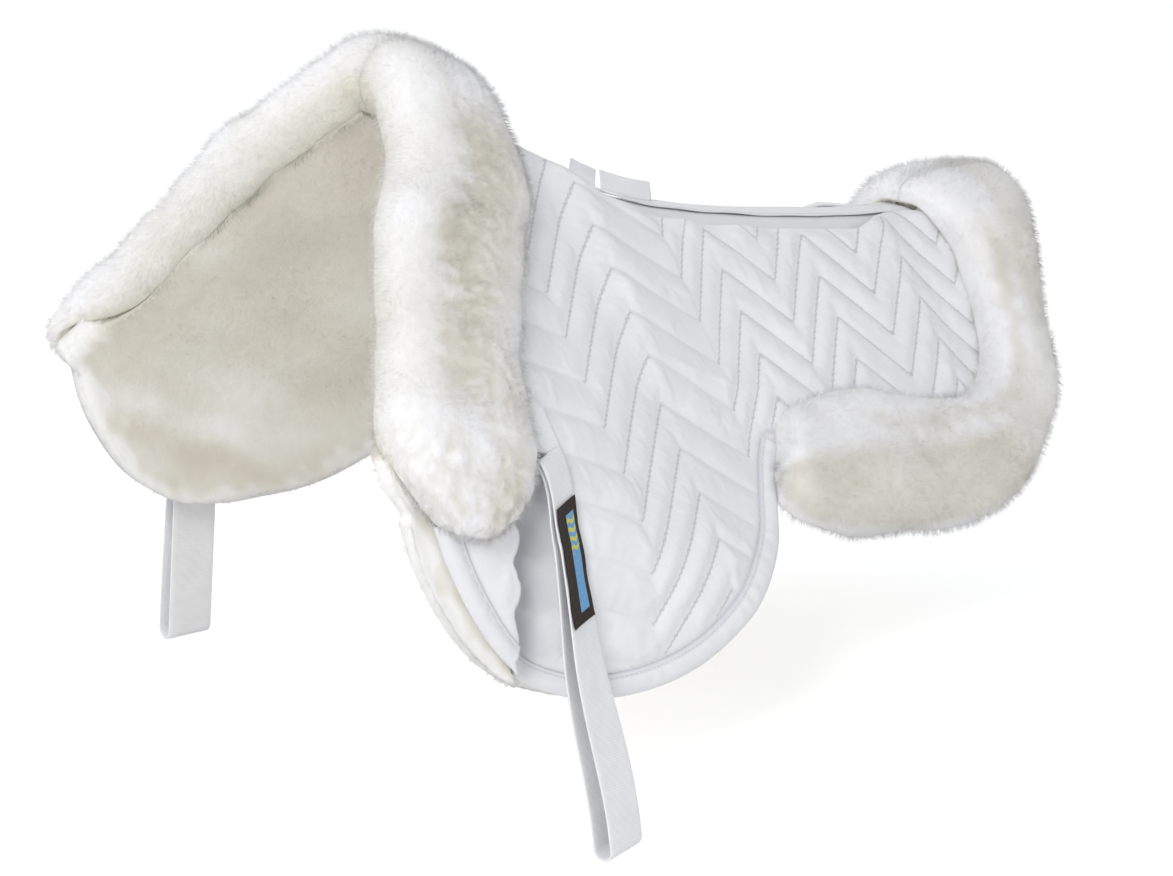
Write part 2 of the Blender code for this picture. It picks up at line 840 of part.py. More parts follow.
def build_woven_label(spot, stations, start):
    """Woven label sewn to the outer face of the left strap, following its course."""
    ends = (woven_label_top, woven_label_top + woven_label_length)
    downs = [ends[0]] + [down for down in stations if ends[0] < down < ends[1]] + [ends[1]]
    rows = []
    for down in downs:
        face = leg_spread(down) - strap_fold + webbing / 2 + layer_gap
        for lift, across in ((0, -1), (0, 1), (1, 1), (1, -1)):
            rows.append(spot(down, face + lift * label_thick, across * woven_label_width / 2))
    last = 4 * (len(downs) - 1)
    faces = [[3, 2, 1, 0], [last, last + 1, last + 2, last + 3]]
    for k in range(len(downs) - 1):
        for m in range(4):
            n = (m + 1) % 4
            faces.append([4 * k + m, 4 * k + n, 4 * k + 4 + n, 4 * k + 4 + m])
    new_object("woven_label", rows, faces, (0.12, 0.25, 0.45), 0.6, origin=start)


def build_strap_tail(side):
    """The sewn-down end of a strap, lying on the quilting above the strap's turn."""
    low = layer_gap + quilt_stitched + quilt_puff + strap_gap
    outline = box_outline(
        (strap_along - strap_width / 2, strap_tail_top),
        (strap_along + strap_width / 2, strap_tail_top + strap_tail_drop - 0.0016),
    )
    high = low + 2 * webbing
    layer(side + "_strap_tail", side, outline, at_level(low), at_level(high), (0.86, 0.86, 0.86), 0.7)


def build_side(side):
    build_cover(side)
    build_linings(side)
    build_pockets(side)
    build_roll(side + "_front_roll", side, front_roll_outer, front_roll_inner, 20, 0.55)
    build_roll(side + "_rear_roll", side, rear_roll_outer, rear_roll_inner, 20, 0.25)
    build_binding(side)
    build_strap(side)


for side_name in sides:
    build_side(side_name)
build_band()
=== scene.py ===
import math

import bpy
import numpy as np
from mathutils import Matrix, Vector


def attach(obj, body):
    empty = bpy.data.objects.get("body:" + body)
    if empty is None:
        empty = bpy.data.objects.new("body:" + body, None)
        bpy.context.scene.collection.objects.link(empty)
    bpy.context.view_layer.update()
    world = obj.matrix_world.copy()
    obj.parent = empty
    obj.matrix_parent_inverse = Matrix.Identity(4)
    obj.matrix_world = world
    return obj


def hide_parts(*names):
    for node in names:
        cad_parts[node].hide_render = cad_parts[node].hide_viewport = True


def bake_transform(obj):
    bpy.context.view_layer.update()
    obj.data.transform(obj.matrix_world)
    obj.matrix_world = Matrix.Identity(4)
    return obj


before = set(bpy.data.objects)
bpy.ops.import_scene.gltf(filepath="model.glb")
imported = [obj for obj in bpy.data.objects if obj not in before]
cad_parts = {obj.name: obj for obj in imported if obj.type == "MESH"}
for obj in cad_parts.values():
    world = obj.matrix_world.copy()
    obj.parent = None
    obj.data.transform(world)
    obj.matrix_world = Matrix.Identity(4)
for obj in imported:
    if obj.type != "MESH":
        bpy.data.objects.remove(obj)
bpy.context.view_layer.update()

print("frame loaded:", len(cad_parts), "nodes")

# The pad is laid out flat, side by side, and bent over the horse's back.
# A flat place is (along, down, lift): along the spine, down the side, out from the pocket floor.
pad = {
    "spine": [(-0.420, 0.172), (-0.340, 0.151), (-0.261, 0.117), (-0.165, 0.068), (-0.071, 0.018),
              (0.000, 0.000), (0.092, -0.016), (0.179, -0.026), (0.260, -0.030), (0.360, -0.027)],
    "crestHalf": 0.004,
    "crestBend": 0.026,
    "sideSlope": math.radians(50),
    "shoulderStart": 0.285,
    "shoulderBend": 0.085,
    "flapSlope": math.radians(88),
    "reach": 0.560,
    "rounding": 0.012,  # the spine line is evened out over this much on each side
    "probe": 0.0015,  # how far off the places lie that give the floor's normal
}
furrow = {  # the valley behind the flap's front ridge, which the left strap lies over
    "ridge": -0.322,
    "scallop": 0.006,
    "scallopLength": 0.0335,
    "step": 0.008,
    "bottom": -0.305,
    "rise": 0.050,
    "start": 0.300,
    "ramp": 0.060,
    "depth": {"left": 0.018, "right": 0.0},
}
sides = {"left": -1.0, "right": 1.0}


def smoothStep(value):
    value = np.clip(value, 0.0, 1.0)
    return value * value * (3 - 2 * value)


def throughPoints(points, count):  # a smooth curve through the points, as count places along it
    points = np.array(points, float)
    steps = np.linalg.norm(np.diff(points, axis=0), axis=1)
    knots = np.concatenate([[0.0], np.cumsum(steps)]) / steps.sum()
    slopes = np.gradient(points, knots, axis=0)
    value = np.linspace(0, 1, count)
    k = np.clip(np.searchsorted(knots, value, side="right") - 1, 0, len(knots) - 2)
    width = (knots[k + 1] - knots[k])[:, None]
    part = (value - knots[k])[:, None] / width
    blend = part * part * (3 - 2 * part)
    leave = part * (1 - part) ** 2 * width * slopes[k]
    arrive = part * part * (part - 1) * width * slopes[k + 1]
    return points[k] + blend * (points[k + 1] - points[k]) + leave + arrive


spineLine = throughPoints(pad["spine"], 600)
downFine = np.linspace(0, pad["reach"], 2241)
slopeFine = pad["sideSlope"] * smoothStep((downFine - pad["crestHalf"]) / pad["crestBend"])
shoulderShare = smoothStep((downFine - pad["shoulderStart"]) / pad["shoulderBend"])
slopeFine = slopeFine + (pad["flapSlope"] - pad["sideSlope"]) * shoulderShare
middleSlope = 0.5 * (slopeFine[1:] + slopeFine[:-1])
outFine = np.concatenate([[0.0], np.cumsum(np.cos(middleSlope) * np.diff(downFine))])
fallFine = np.concatenate([[0.0], np.cumsum(np.sin(middleSlope) * np.diff(downFine))])


def floorPoint(along, down):
    # the spine's height, less the fall down the cross-section
    near = [along + k * pad["rounding"] for k in (-1, 0, 1)]
    rise = sum(np.interp(place, spineLine[:, 0], spineLine[:, 1]) for place in near) / 3
    out = np.interp(down, downFine, outFine)
    return np.stack([along, out, rise - np.interp(down, downFine, fallFine)], axis=-1)


def behindRidge(along, down):  # how far a place lies behind the ridge's scalloped edge
    scallop = furrow["scallop"] * np.abs(np.sin(np.pi * (down - furrow["start"]) / furrow["scallopLength"]))
    return along - furrow["ridge"] - scallop


def furrowSink(along, down, side):
    # a steep step behind the ridge, and a long gentle rise after it
    step = smoothStep(behindRidge(along, down) / furrow["step"])
    fade = 1 - smoothStep((along - furrow["bottom"]) / furrow["rise"])
    return furrow["depth"][side] * step * fade * smoothStep((down - furrow["start"]) / furrow["ramp"])


def placed(flat, side):
    # a place is the floor's point plus lift, less the furrow, times the floor's outward normal
    flat = np.asarray(flat, float)
    along, down, lift = flat[..., 0], np.abs(flat[..., 1]), flat[..., 2]
    step = pad["probe"]
    ahead = floorPoint(along + step, down) - floorPoint(along - step, down)
    below = floorPoint(along, down + step) - floorPoint(along, np.maximum(down - step, 0.0))
    below[..., 2] = below[..., 2] * np.where(down < step, 0.0, 1.0)
    normal = np.cross(ahead, below)
    normal = normal / np.linalg.norm(normal, axis=-1, keepdims=True)
    place = floorPoint(along, down) + normal * (lift - furrowSink(along, down, side))[..., None]
    place[..., 1] = place[..., 1] * sides[side]
    normal[..., 1] = normal[..., 1] * sides[side]
    return place, normal


def ripple(places, wave, seed, count=14):
    # a smooth random value, mostly from -1 to 1: cosines of about the given wavelength, summed
    draw = np.random.default_rng(seed)
    ways = draw.normal(size=(count, places.shape[-1]))
    ways = ways / np.linalg.norm(ways, axis=1, keepdims=True)
    waves = 2 * np.pi / (wave * draw.uniform(0.7, 1.4, count))
    phases = draw.uniform(0, 2 * np.pi, count)
    total = np.zeros(places.shape[:-1])
    for way, size, phase in zip(ways, waves, phases):
        total = total + np.cos(places @ way * size + phase)
    return total / math.sqrt(count)


def signedVolume(points, faces):  # a sum over triangles, above zero where the faces point outwards
    total = 0.0
    for corner in range(1, faces.shape[1] - 1):
        a, b, c = (points[faces[:, k]] for k in (0, corner, corner + 1))
        total = total + np.einsum("ij,ij->i", a, np.cross(b, c)).sum()
    return total / 6


def makeMesh(name, points, faceSets, finish, marks=None, flatLast=False):
    # one closed mesh from sets of quads and triangles, turned outwards, smooth but for a last set
    # that may be flat; marks are named values, one for each point, that the finish reads
    points = np.asarray(points, float)
    faceSets = [np.asarray(faces, np.int32) for faces in faceSets if len(faces)]
    if sum(signedVolume(points, faces) for faces in faceSets) < 0:
        faceSets = [faces[:, ::-1] for faces in faceSets]
    sizes = np.concatenate([np.full(len(faces), faces.shape[1], np.int32) for faces in faceSets])
    corners = np.concatenate([faces.ravel() for faces in faceSets])
    starts = np.concatenate([[0], np.cumsum(sizes)[:-1]]).astype(np.int32)
    title = name if name.endswith(("_pile", "_stitches")) else name + "_surface"
    mesh = bpy.data.meshes.new(title)
    mesh.vertices.add(len(points))
    mesh.vertices.foreach_set("co", points.astype(np.float32).ravel())
    mesh.loops.add(len(corners))
    mesh.loops.foreach_set("vertex_index", corners)
    mesh.polygons.add(len(sizes))
    mesh.polygons.foreach_set("loop_start", starts)
    smooth = np.ones(len(sizes), bool)
    smooth[len(sizes) - len(faceSets[-1]):] = not flatLast
    mesh.polygons.foreach_set("use_smooth", smooth)
    mesh.update(calc_edges=True)
    for mark, values in (marks or {}).items():
        layer = mesh.attributes.new(mark, "FLOAT", "POINT")
        layer.data.foreach_set("value", np.asarray(values, np.float32))
    mesh.materials.append(finish)
    made = bpy.data.objects.new(title, mesh)
    bpy.context.scene.collection.objects.link(made)
    return made


def pointNormals(points, quads):  # each face's normal, weighted by its area, added up at its corners
    across = np.cross(points[quads[:, 2]] - points[quads[:, 0]], points[quads[:, 3]] - points[quads[:, 1]])
    total = np.stack([
        np.bincount(quads.ravel(), np.repeat(across[:, k], 4), len(points)) for k in range(3)
    ], axis=1)
    return total / np.maximum(np.linalg.norm(total, axis=1, keepdims=True), 1e-12)


def gridQuads(rows, columns, closedRows=False, closedColumns=False):
    # four corners for each cell of a grid, wrapped round where it is closed
    r = np.arange(rows if closedRows else rows - 1)
    c = np.arange(columns if closedColumns else columns - 1)
    r, c = np.meshgrid(r, c, indexing="ij")
    up, right = (r + 1) % rows, (c + 1) % columns
    corners = [r * columns + c, r * columns + right, up * columns + right, up * columns + c]
    return np.stack(corners, -1).reshape(-1, 4)


def unitRows(rows):  # each row's direction
    return rows / np.maximum(np.linalg.norm(rows, axis=-1, keepdims=True), 1e-12)


def bump(value, middle, width):  # 1 at the middle, falling off as exp(-x^2) with x in widths
    return np.exp(-(((value - middle) / width) ** 2))


# Finishes: node materials on Object coordinates, with a piece's own marks where a pattern follows it


def startFinish(name, colour, roughness):
    made = bpy.data.materials.new(name)
    made.use_nodes = True
    tree = made.node_tree
    shader = tree.nodes["Principled BSDF"]
    shader.inputs["Base Color"].default_value = (*colour, 1)
    shader.inputs["Roughness"].default_value = roughness
    place = tree.nodes.new("ShaderNodeTexCoord")
    return made, tree, shader, place.outputs["Object"]


def noiseNode(tree, place, scale, detail=3.0):
    noise = tree.nodes.new("ShaderNodeTexNoise")
    noise.inputs["Scale"].default_value = scale
    noise.inputs["Detail"].default_value = detail
    tree.links.new(place, noise.inputs["Vector"])
    return noise.outputs["Fac"]


def markNode(tree, mark):
    node = tree.nodes.new("ShaderNodeAttribute")
    node.attribute_name = mark
    return node.outputs["Fac"]


def rampNode(tree, value, stops):
    ramp = tree.nodes.new("ShaderNodeValToRGB")
    ramp.color_ramp.elements[0].position, ramp.color_ramp.elements[0].color = stops[0][0], (*stops[0][1], 1)
    ramp.color_ramp.elements[1].position, ramp.color_ramp.elements[1].color = stops[-1][0], (*stops[-1][1], 1)
    for position, colour in stops[1:-1]:
        ramp.color_ramp.elements.new(position).color = (*colour, 1)
    tree.links.new(value, ramp.inputs["Fac"])
    return ramp.outputs["Color"]


def mathNode(tree, kind, first, second):
    node = tree.nodes.new("ShaderNodeMath")
    node.operation = kind
    for socket, value in zip(node.inputs, (first, second)):
        if isinstance(value, (int, float)):
            socket.default_value = value
        else:
            tree.links.new(value, socket)
    return node.outputs["Value"]


def blendColours(tree, share, first, second, kind="MIX"):
    node = tree.nodes.new("ShaderNodeMix")
    node.data_type = "RGBA"
    node.blend_type = kind
    for socket, value in zip((node.inputs[0], node.inputs[6], node.inputs[7]), (share, first, second)):
        if isinstance(value, tuple):
            socket.default_value = (*value, 1)
        elif isinstance(value, float):
            socket.default_value = value
        else:
            tree.links.new(value, socket)
    return node.outputs[2]


def addBump(tree, shader, height, distance, strength=1.0, under=None):
    bump = tree.nodes.new("ShaderNodeBump")
    bump.inputs["Distance"].default_value = distance
    bump.inputs["Strength"].default_value = strength
    tree.links.new(height, bump.inputs["Height"])
    if under:
        tree.links.new(under, bump.inputs["Normal"])
    tree.links.new(bump.outputs["Normal"], shader.inputs["Normal"])
    return bump.outputs["Normal"]


def waveNode(tree, place, scale, direction, distortion=0.0):
    wave = tree.nodes.new("ShaderNodeTexWave")
    wave.wave_type = "BANDS"
    wave.bands_direction = direction
    wave.inputs["Scale"].default_value = scale
    wave.inputs["Distortion"].default_value = distortion
    tree.links.new(place, wave.inputs["Vector"])
    return wave.outputs["Fac"]


def weaveHeight(tree, place, threads):
    # two sets of threads crossing, threads to the metre, each a band wave
    scale = threads / 20.0
    warp = waveNode(tree, place, scale, "DIAGONAL")
    weft = waveNode(tree, place, scale, "Z")
    return mathNode(tree, "MULTIPLY", warp, weft)


def clothFinish(name, colour, shaded, roughness, threads, weaveDepth, sheen=0.15, quilted=False):
    # cotton: soft colour drift, darker where the mark "seam" is high, for sewn lines and for painted shadow,
    # fine weave in the bump; a quilted one paints shade in its stitched grooves where the mark "row" is a
    # whole number, as dark as the mark "steep" says
    made, tree, shader, place = startFinish(name, colour, roughness)
    drift = noiseNode(tree, place, scale=22.0, detail=4.0)
    tone = rampNode(tree, drift, [(0.30, tuple(0.95 * c for c in colour)), (0.70, colour)])
    fine = noiseNode(tree, place, scale=900.0, detail=2.0)
    tone = blendColours(tree, mathNode(tree, "MULTIPLY", fine, 0.12), tone, shaded)
    tone = blendColours(tree, markNode(tree, "seam"), tone, shaded)
    if quilted:
        off = mathNode(tree, "PINGPONG", markNode(tree, "row"), 0.5)
        line = rampNode(tree, off, [(0.0, (1, 1, 1)), (0.016, (0.75, 0.75, 0.75)), (0.060, (0, 0, 0))])
        tone = blendColours(tree, mathNode(tree, "MULTIPLY", line, markNode(tree, "steep")), tone, shaded)
    tree.links.new(tone, shader.inputs["Base Color"])
    shader.inputs["Sheen Weight"].default_value = sheen
    shader.inputs["Sheen Roughness"].default_value = 0.5
    weave = addBump(tree, shader, weaveHeight(tree, place, threads), weaveDepth, strength=0.12)
    crumple = noiseNode(tree, place, scale=240.0, detail=3.0)
    addBump(tree, shader, crumple, 0.0005, strength=0.22, under=weave)
    return made


def fleeceFinish(name, white, cream, deep, tufts=False):
    # lambswool: the mark "woolAndShade" is painted light and shade, running from the cream of the shaded
    # depths to the white of the lit tips
    made, tree, shader, place = startFinish(name, white, 0.9)
    patch = noiseNode(tree, place, scale=14.0, detail=4.0)
    wisp = noiseNode(tree, place, scale=160.0, detail=3.0)
    value = mathNode(tree, "ADD", markNode(tree, "woolAndShade"), mathNode(tree, "MULTIPLY", patch, 0.26))
    value = mathNode(tree, "ADD", value, mathNode(tree, "MULTIPLY", wisp, 0.12))
    value = mathNode(tree, "SUBTRACT", value, 0.19)
    tone = rampNode(tree, value, [(0.05, deep), (0.50, cream), (0.90, white)])
    tree.links.new(tone, shader.inputs["Base Color"])
    shader.inputs["Sheen Weight"].default_value = 0.30
    shader.inputs["Sheen Roughness"].default_value = 0.45
    if not tufts:
        shader.inputs["Subsurface Weight"].default_value = 0.25
        shader.inputs["Subsurface Radius"].default_value = (1.0, 0.9, 0.8)
        shader.inputs["Subsurface Scale"].default_value = 0.006
        addBump(tree, shader, noiseNode(tree, place, scale=300.0, detail=5.0), 0.0011, strength=0.40)
    return made


def webbingFinish(name, colour, shaded):
    # ribbed webbing: the ribs are in the mesh, the shade between them is painted through the mark "seam", and
    # the yarn's twist is in the bump
    made, tree, shader, place = startFinish(name, colour, 0.62)
    drift = noiseNode(tree, place, scale=60.0, detail=3.0)
    tone = rampNode(tree, drift, [(0.30, tuple(0.93 * c for c in colour)), (0.70, colour)])
    tone = blendColours(tree, markNode(tree, "seam"), tone, shaded)
    tree.links.new(tone, shader.inputs["Base Color"])
    shader.inputs["Sheen Weight"].default_value = 0.1
    yarn = waveNode(tree, place, 70.0, "DIAGONAL", distortion=2.0)
    addBump(tree, shader, yarn, 0.00015, strength=0.5)
    return made


def pressedFeltFinish(name, colour, specks):
    # pressed felt: mottled fibres in two tones
    made, tree, shader, place = startFinish(name, colour, 0.95)
    mottle = noiseNode(tree, place, scale=240.0, detail=5.0)
    tree.links.new(rampNode(tree, mottle, [(0.35, specks), (0.65, colour)]), shader.inputs["Base Color"])
    addBump(tree, shader, noiseNode(tree, place, scale=700.0, detail=4.0), 0.0004, strength=0.8)
    return made


def wovenLabelFinish(name):
    # dark border, a blue field and a few yellow waves on its upper part, woven in fine threads
    made, tree, shader, place = startFinish(name, (0.045, 0.032, 0.024), 0.6)
    uv = tree.nodes.new("ShaderNodeUVMap")
    uv.uv_map = "label"
    parts = tree.nodes.new("ShaderNodeSeparateXYZ")
    tree.links.new(uv.outputs["UV"], parts.inputs[0])
    x, y = parts.outputs["X"], parts.outputs["Y"]

    def between(value, low, high):
        above = mathNode(tree, "GREATER_THAN", value, low)
        return mathNode(tree, "MULTIPLY", above, mathNode(tree, "LESS_THAN", value, high))

    panel = mathNode(tree, "MULTIPLY", between(x, 0.16, 0.56), between(y, 0.10, 0.91))
    sway = mathNode(tree, "MULTIPLY", mathNode(tree, "SINE", mathNode(tree, "MULTIPLY", x, 16.0), 0.0), 0.016)
    stripes = mathNode(tree, "SINE", mathNode(tree, "MULTIPLY", mathNode(tree, "ADD", y, sway), 88.0), 0.0)
    stripes = mathNode(tree, "MULTIPLY", mathNode(tree, "GREATER_THAN", stripes, 0.1), between(y, 0.12, 0.42))
    thread = noiseNode(tree, place, scale=1200.0, detail=2.0)
    dark = rampNode(tree, thread, [(0.3, (0.016, 0.011, 0.009)), (0.7, (0.040, 0.029, 0.022))])
    blue = rampNode(tree, thread, [(0.3, (0.12, 0.30, 0.55)), (0.7, (0.22, 0.46, 0.72))])
    tone = blendColours(tree, panel, dark, blue)
    tone = blendColours(tree, mathNode(tree, "MULTIPLY", panel, stripes), tone, (0.62, 0.62, 0.14))
    tree.links.new(tone, shader.inputs["Base Color"])
    shader.inputs["Roughness"].default_value = 0.8
    shader.inputs["Specular IOR Level"].default_value = 0.2
    addBump(tree, shader, weaveHeight(tree, place, threads=2600.0), 0.00015, strength=0.7)
    return made


def sewingThreadFinish(name):
    # twisted sewing thread
    made, tree, shader, place = startFinish(name, (0.74, 0.74, 0.78), 0.5)
    twist = waveNode(tree, place, 160.0, "DIAGONAL", distortion=1.0)
    tree.links.new(rampNode(tree, twist, [(0.2, (0.58, 0.58, 0.63)), (0.8, (0.82, 0.82, 0.85))]),
                   shader.inputs["Base Color"])
    addBump(tree, shader, twist, 0.00008, strength=0.6)
    return made


# Each cloth: its colour, the colour of its seams and painted shade, its roughness, its threads to the metre
# and their depth
cottons = {
    "quiltedCotton": {"colour": (0.84, 0.84, 0.855), "shaded": (0.46, 0.46, 0.50), "roughness": 0.78,
                      "threads": 1700.0, "weaveDepth": 0.00018, "quilted": True},
    "liningCotton": {"colour": (0.80, 0.80, 0.81), "shaded": (0.60, 0.60, 0.64), "roughness": 0.85,
                     "threads": 1500.0, "weaveDepth": 0.00015},
    "bindingTape": {"colour": (0.82, 0.82, 0.84), "shaded": (0.50, 0.50, 0.56), "roughness": 0.65,
                    "threads": 1300.0, "weaveDepth": 0.00018, "sheen": 0.25},
    "bandTape": {"colour": (0.84, 0.84, 0.86), "shaded": (0.55, 0.55, 0.60), "roughness": 0.45,
                 "threads": 2000.0, "weaveDepth": 0.00012, "sheen": 0.1},
    "fasteningTape": {"colour": (0.78, 0.78, 0.78), "shaded": (0.55, 0.55, 0.56), "roughness": 0.9,
                      "threads": 900.0, "weaveDepth": 0.0004, "sheen": 0.3},
}
cloths = {name: clothFinish(name, **facts) for name, facts in cottons.items()}
feltFinish = pressedFeltFinish("shimFelt", (0.30, 0.32, 0.35), (0.18, 0.19, 0.21))
# each fleece's white of lit wool, and the cream and deep of its shaded hollows, for the painted light and
# shade
rollTones = ((0.87, 0.865, 0.87), (0.68, 0.65, 0.57), (0.50, 0.47, 0.39))
liningTones = ((0.88, 0.87, 0.845), (0.73, 0.695, 0.605), (0.57, 0.535, 0.45))
fleeceRollFinish = fleeceFinish("rollFleece", *rollTones)
fleeceLiningFinish = fleeceFinish("liningFleece", *liningTones)
rollTuftFinish = fleeceFinish("rollTufts", *rollTones, tufts=True)
liningTuftFinish = fleeceFinish("liningTufts", *liningTones, tufts=True)
strapFinish = webbingFinish("ribbedWebbing", (0.88, 0.88, 0.885), (0.66, 0.66, 0.70))
wovenFinish = wovenLabelFinish("wovenLabel")
threadFinish = sewingThreadFinish("sewingThread")
print("finishes made")

# Edges of the rolls and of the flap on the flat pad
edges = {
    "frontOuter": [(-0.290, 0.000), (-0.2895, 0.022), (-0.295, 0.060), (-0.326, 0.118), (-0.351, 0.168),
                   (-0.373, 0.220), (-0.388, 0.256), (-0.399, 0.290), (-0.402, 0.323), (-0.388, 0.350)],
    "frontOuterRight": [(-0.290, 0.000), (-0.293, 0.020), (-0.308, 0.050), (-0.333, 0.100),
                        (-0.352, 0.165), (-0.366, 0.225), (-0.380, 0.280), (-0.396, 0.318),
                        (-0.408, 0.338), (-0.398, 0.354)],
    "frontInner": [(-0.195, 0.000), (-0.203, 0.070), (-0.230, 0.130), (-0.260, 0.190), (-0.284, 0.240),
                   (-0.289, 0.275), (-0.299, 0.305), (-0.314, 0.334), (-0.338, 0.358)],
    "frontSeam": [(-0.195, 0.011), (-0.205, 0.070), (-0.235, 0.130), (-0.270, 0.190), (-0.303, 0.245),
                  (-0.309, 0.280), (-0.313, 0.308), (-0.323, 0.334), (-0.342, 0.352)],
    "rearOuter": [(0.288, 0.000), (0.277, 0.045), (0.259, 0.095), (0.239, 0.152), (0.213, 0.198),
                  (0.177, 0.236), (0.135, 0.259), (0.074, 0.272), (0.000, 0.273), (-0.042, 0.270),
                  (-0.073, 0.261)],
    "rearInner": [(0.184, 0.000), (0.189, 0.020), (0.199, 0.046), (0.197, 0.080), (0.187, 0.119),
                  (0.167, 0.151), (0.133, 0.170), (0.085, 0.168), (0.040, 0.163), (0.000, 0.168),
                  (-0.030, 0.181), (-0.047, 0.203)],
    "rearInnerRight": [(0.184, 0.000), (0.178, 0.035), (0.180, 0.076), (0.183, 0.114), (0.168, 0.150),
                       (0.134, 0.170), (0.085, 0.168), (0.040, 0.163), (0.000, 0.168), (-0.030, 0.181),
                       (-0.047, 0.203)],
    "rearSeam": [(0.196, 0.000), (0.206, 0.030), (0.209, 0.055), (0.207, 0.085), (0.197, 0.125),
                 (0.176, 0.161), (0.137, 0.181), (0.085, 0.179), (0.040, 0.174), (0.002, 0.179),
                 (-0.020, 0.188), (-0.034, 0.199)],
    "flap": [(-0.374, 0.350), (-0.367, 0.370), (-0.352, 0.400), (-0.329, 0.429), (-0.300, 0.446),
             (-0.268, 0.446), (-0.238, 0.436), (-0.204, 0.419), (-0.166, 0.391), (-0.129, 0.350),
             (-0.102, 0.313), (-0.080, 0.280), (-0.065, 0.248), (-0.052, 0.222), (-0.042, 0.206)],
    "flapRight": [(-0.374, 0.350), (-0.369, 0.372), (-0.356, 0.400), (-0.336, 0.424), (-0.310, 0.436),
                  (-0.278, 0.430), (-0.244, 0.416), (-0.209, 0.398), (-0.174, 0.374), (-0.140, 0.343),
                  (-0.108, 0.309), (-0.082, 0.277), (-0.065, 0.248), (-0.052, 0.222), (-0.042, 0.206)],
    "flapFleece": [(-0.392, 0.352), (-0.386, 0.376), (-0.371, 0.406), (-0.349, 0.434), (-0.316, 0.452),
                   (-0.274, 0.4505), (-0.239, 0.4395), (-0.204, 0.4205), (-0.166, 0.391), (-0.130, 0.350),
                   (-0.104, 0.313), (-0.088, 0.290)],
    "flapFleeceRight": [(-0.394, 0.352), (-0.387, 0.380), (-0.373, 0.406), (-0.352, 0.430),
                        (-0.318, 0.442), (-0.280, 0.434), (-0.246, 0.419), (-0.211, 0.401),
                        (-0.175, 0.375), (-0.141, 0.343), (-0.110, 0.309), (-0.089, 0.285)],
}
layers = {
    "cloth": 0.0012,
    "pile": 0.022,
    "gap": 0.0004,
    "coverLift": 0.0087,  # how far the shims lift the cover
    "mouthDown": 0.031,
    "bandEdge": 0.0128,
}
pockets = {
    "front": -0.131,
    "rear": 0.133,
    "shimLength": 0.080,
    "divider": 0.006,
    "shimTop": 0.050,
    "shimDrop": 0.110,
    "bottomGap": 0.004,
    "ramp": 0.038,
    "stripWidth": 0.018,
    "boundBelow": 0.004,  # the binding starts this far below the ramp
    "mouthFront": (0.030, 0.050),  # the mouth opens from so far before the pockets, over so much
    "mouthRear": (0.036, 0.060),
    "liftFront": 0.036,  # the cover rises onto the shims over so much in front, behind and at the top
    "liftRear": 0.040,
    "liftTop": (0.010, 0.019),
}
pocketBottom = pockets["shimTop"] + pockets["shimDrop"] + pockets["bottomGap"]
rampEnd = pocketBottom + pockets["ramp"]


def edgeLine(name, side, count):  # an edge's smooth line, the right side's own where it has one
    own = name + "Right"
    return throughPoints(edges[own if side == "right" and own in edges else name], count)


def panelOutline(side, top, sewn=None):
    # down the front roll's seam, round the flap, back up the rear roll's inner edge, along the top;
    # in front of and behind the pocket mouth, where it is sewn shut, the top runs up to sewn
    front, flap = edgeLine("frontSeam", side, 90), edgeLine("flap", side, 120)
    rear = edgeLine("rearSeam", side, 110)[::-1]
    front, rear = front[front[:, 1] > top], rear[rear[:, 1] > top]
    along = np.linspace(rear[-1, 0], front[0, 0], 200)[:, None]
    (before, opening), (after, closing) = pockets["mouthFront"], pockets["mouthRear"]
    mouth = smoothStep((along - pockets["front"] + before) / opening)
    mouth = mouth * smoothStep((pockets["rear"] + after - along) / closing)
    down = np.full_like(along, top) if sewn is None else sewn + (top - sewn) * mouth
    return np.concatenate([front, flap, rear, np.column_stack([along, down])])


def lipShare(kind, value):  # how much of a roll's width its lip takes below, none at its end
    return rolls[kind]["lip"] * (1 - smoothStep((value - 0.70) / 0.27))


def liningOutline(side):
    # the fleece below runs on under both rolls and tucks in under the lips that they wrap round the edge,
    # by the share under of a roll's width; at the rear roll's end it draws in, and in front its top climbs
    value = np.linspace(0, 1, 160)[:, None]
    least = {"front": 0.03, "rear": 0.13}
    tops = {"front": layers["mouthDown"] - lining["climb"], "rear": layers["mouthDown"]}
    paths = {}
    for kind in rolls:
        outer, inside = edgeLine(kind + "Outer", side, 160), edgeLine(kind + "Inner", side, 160)
        share = np.maximum(lipShare(kind, value) - lining["under"], least[kind])
        if kind == "rear":
            share = share + lining["drawnIn"] * smoothStep((value - 0.86) / 0.14)
        path = outer + (inside - outer) * share
        paths[kind] = path[path[:, 1] > tops[kind]]
    along = np.linspace(paths["rear"][0, 0], paths["front"][0, 0], 120)[:, None]
    top = layers["mouthDown"] - lining["climb"] * smoothStep((lining["climbFrom"] - along) / 0.05)
    return np.concatenate([paths["front"][:-3], edgeLine("flapFleece", side, 120), paths["rear"][::-1],
                           np.column_stack([along, top])])


def flapDistance(flat, side):  # how far each place is from the bound edge of the flap
    path = edgeLine("flap", side, 300)
    path = path[path[:, 1] > rampEnd + pockets["boundBelow"]]
    far = np.zeros(len(flat))
    for part in np.array_split(np.arange(len(flat)), max(1, len(flat) // 8000)):
        far[part] = np.linalg.norm(flat[part, None] - path[None], axis=-1).min(axis=1)
    return far


def insideOutline(outline, places):  # a place is inside if an odd number of edges lie below it
    start, end = outline[None], np.roll(outline, -1, axis=0)[None]
    inside = np.zeros(len(places), bool)
    for part in np.array_split(np.arange(len(places)), max(1, len(places) // 20000)):
        x, y = places[part, None, 0], places[part, None, 1]
        spans = (start[..., 0] > x) != (end[..., 0] > x)
        run = np.where(spans, end[..., 0] - start[..., 0], 1.0)
        height = start[..., 1] + (x - start[..., 0]) / run * (end[..., 1] - start[..., 1])
        inside[part] = (spans & (height > y)).sum(axis=1) % 2 == 1
    return inside


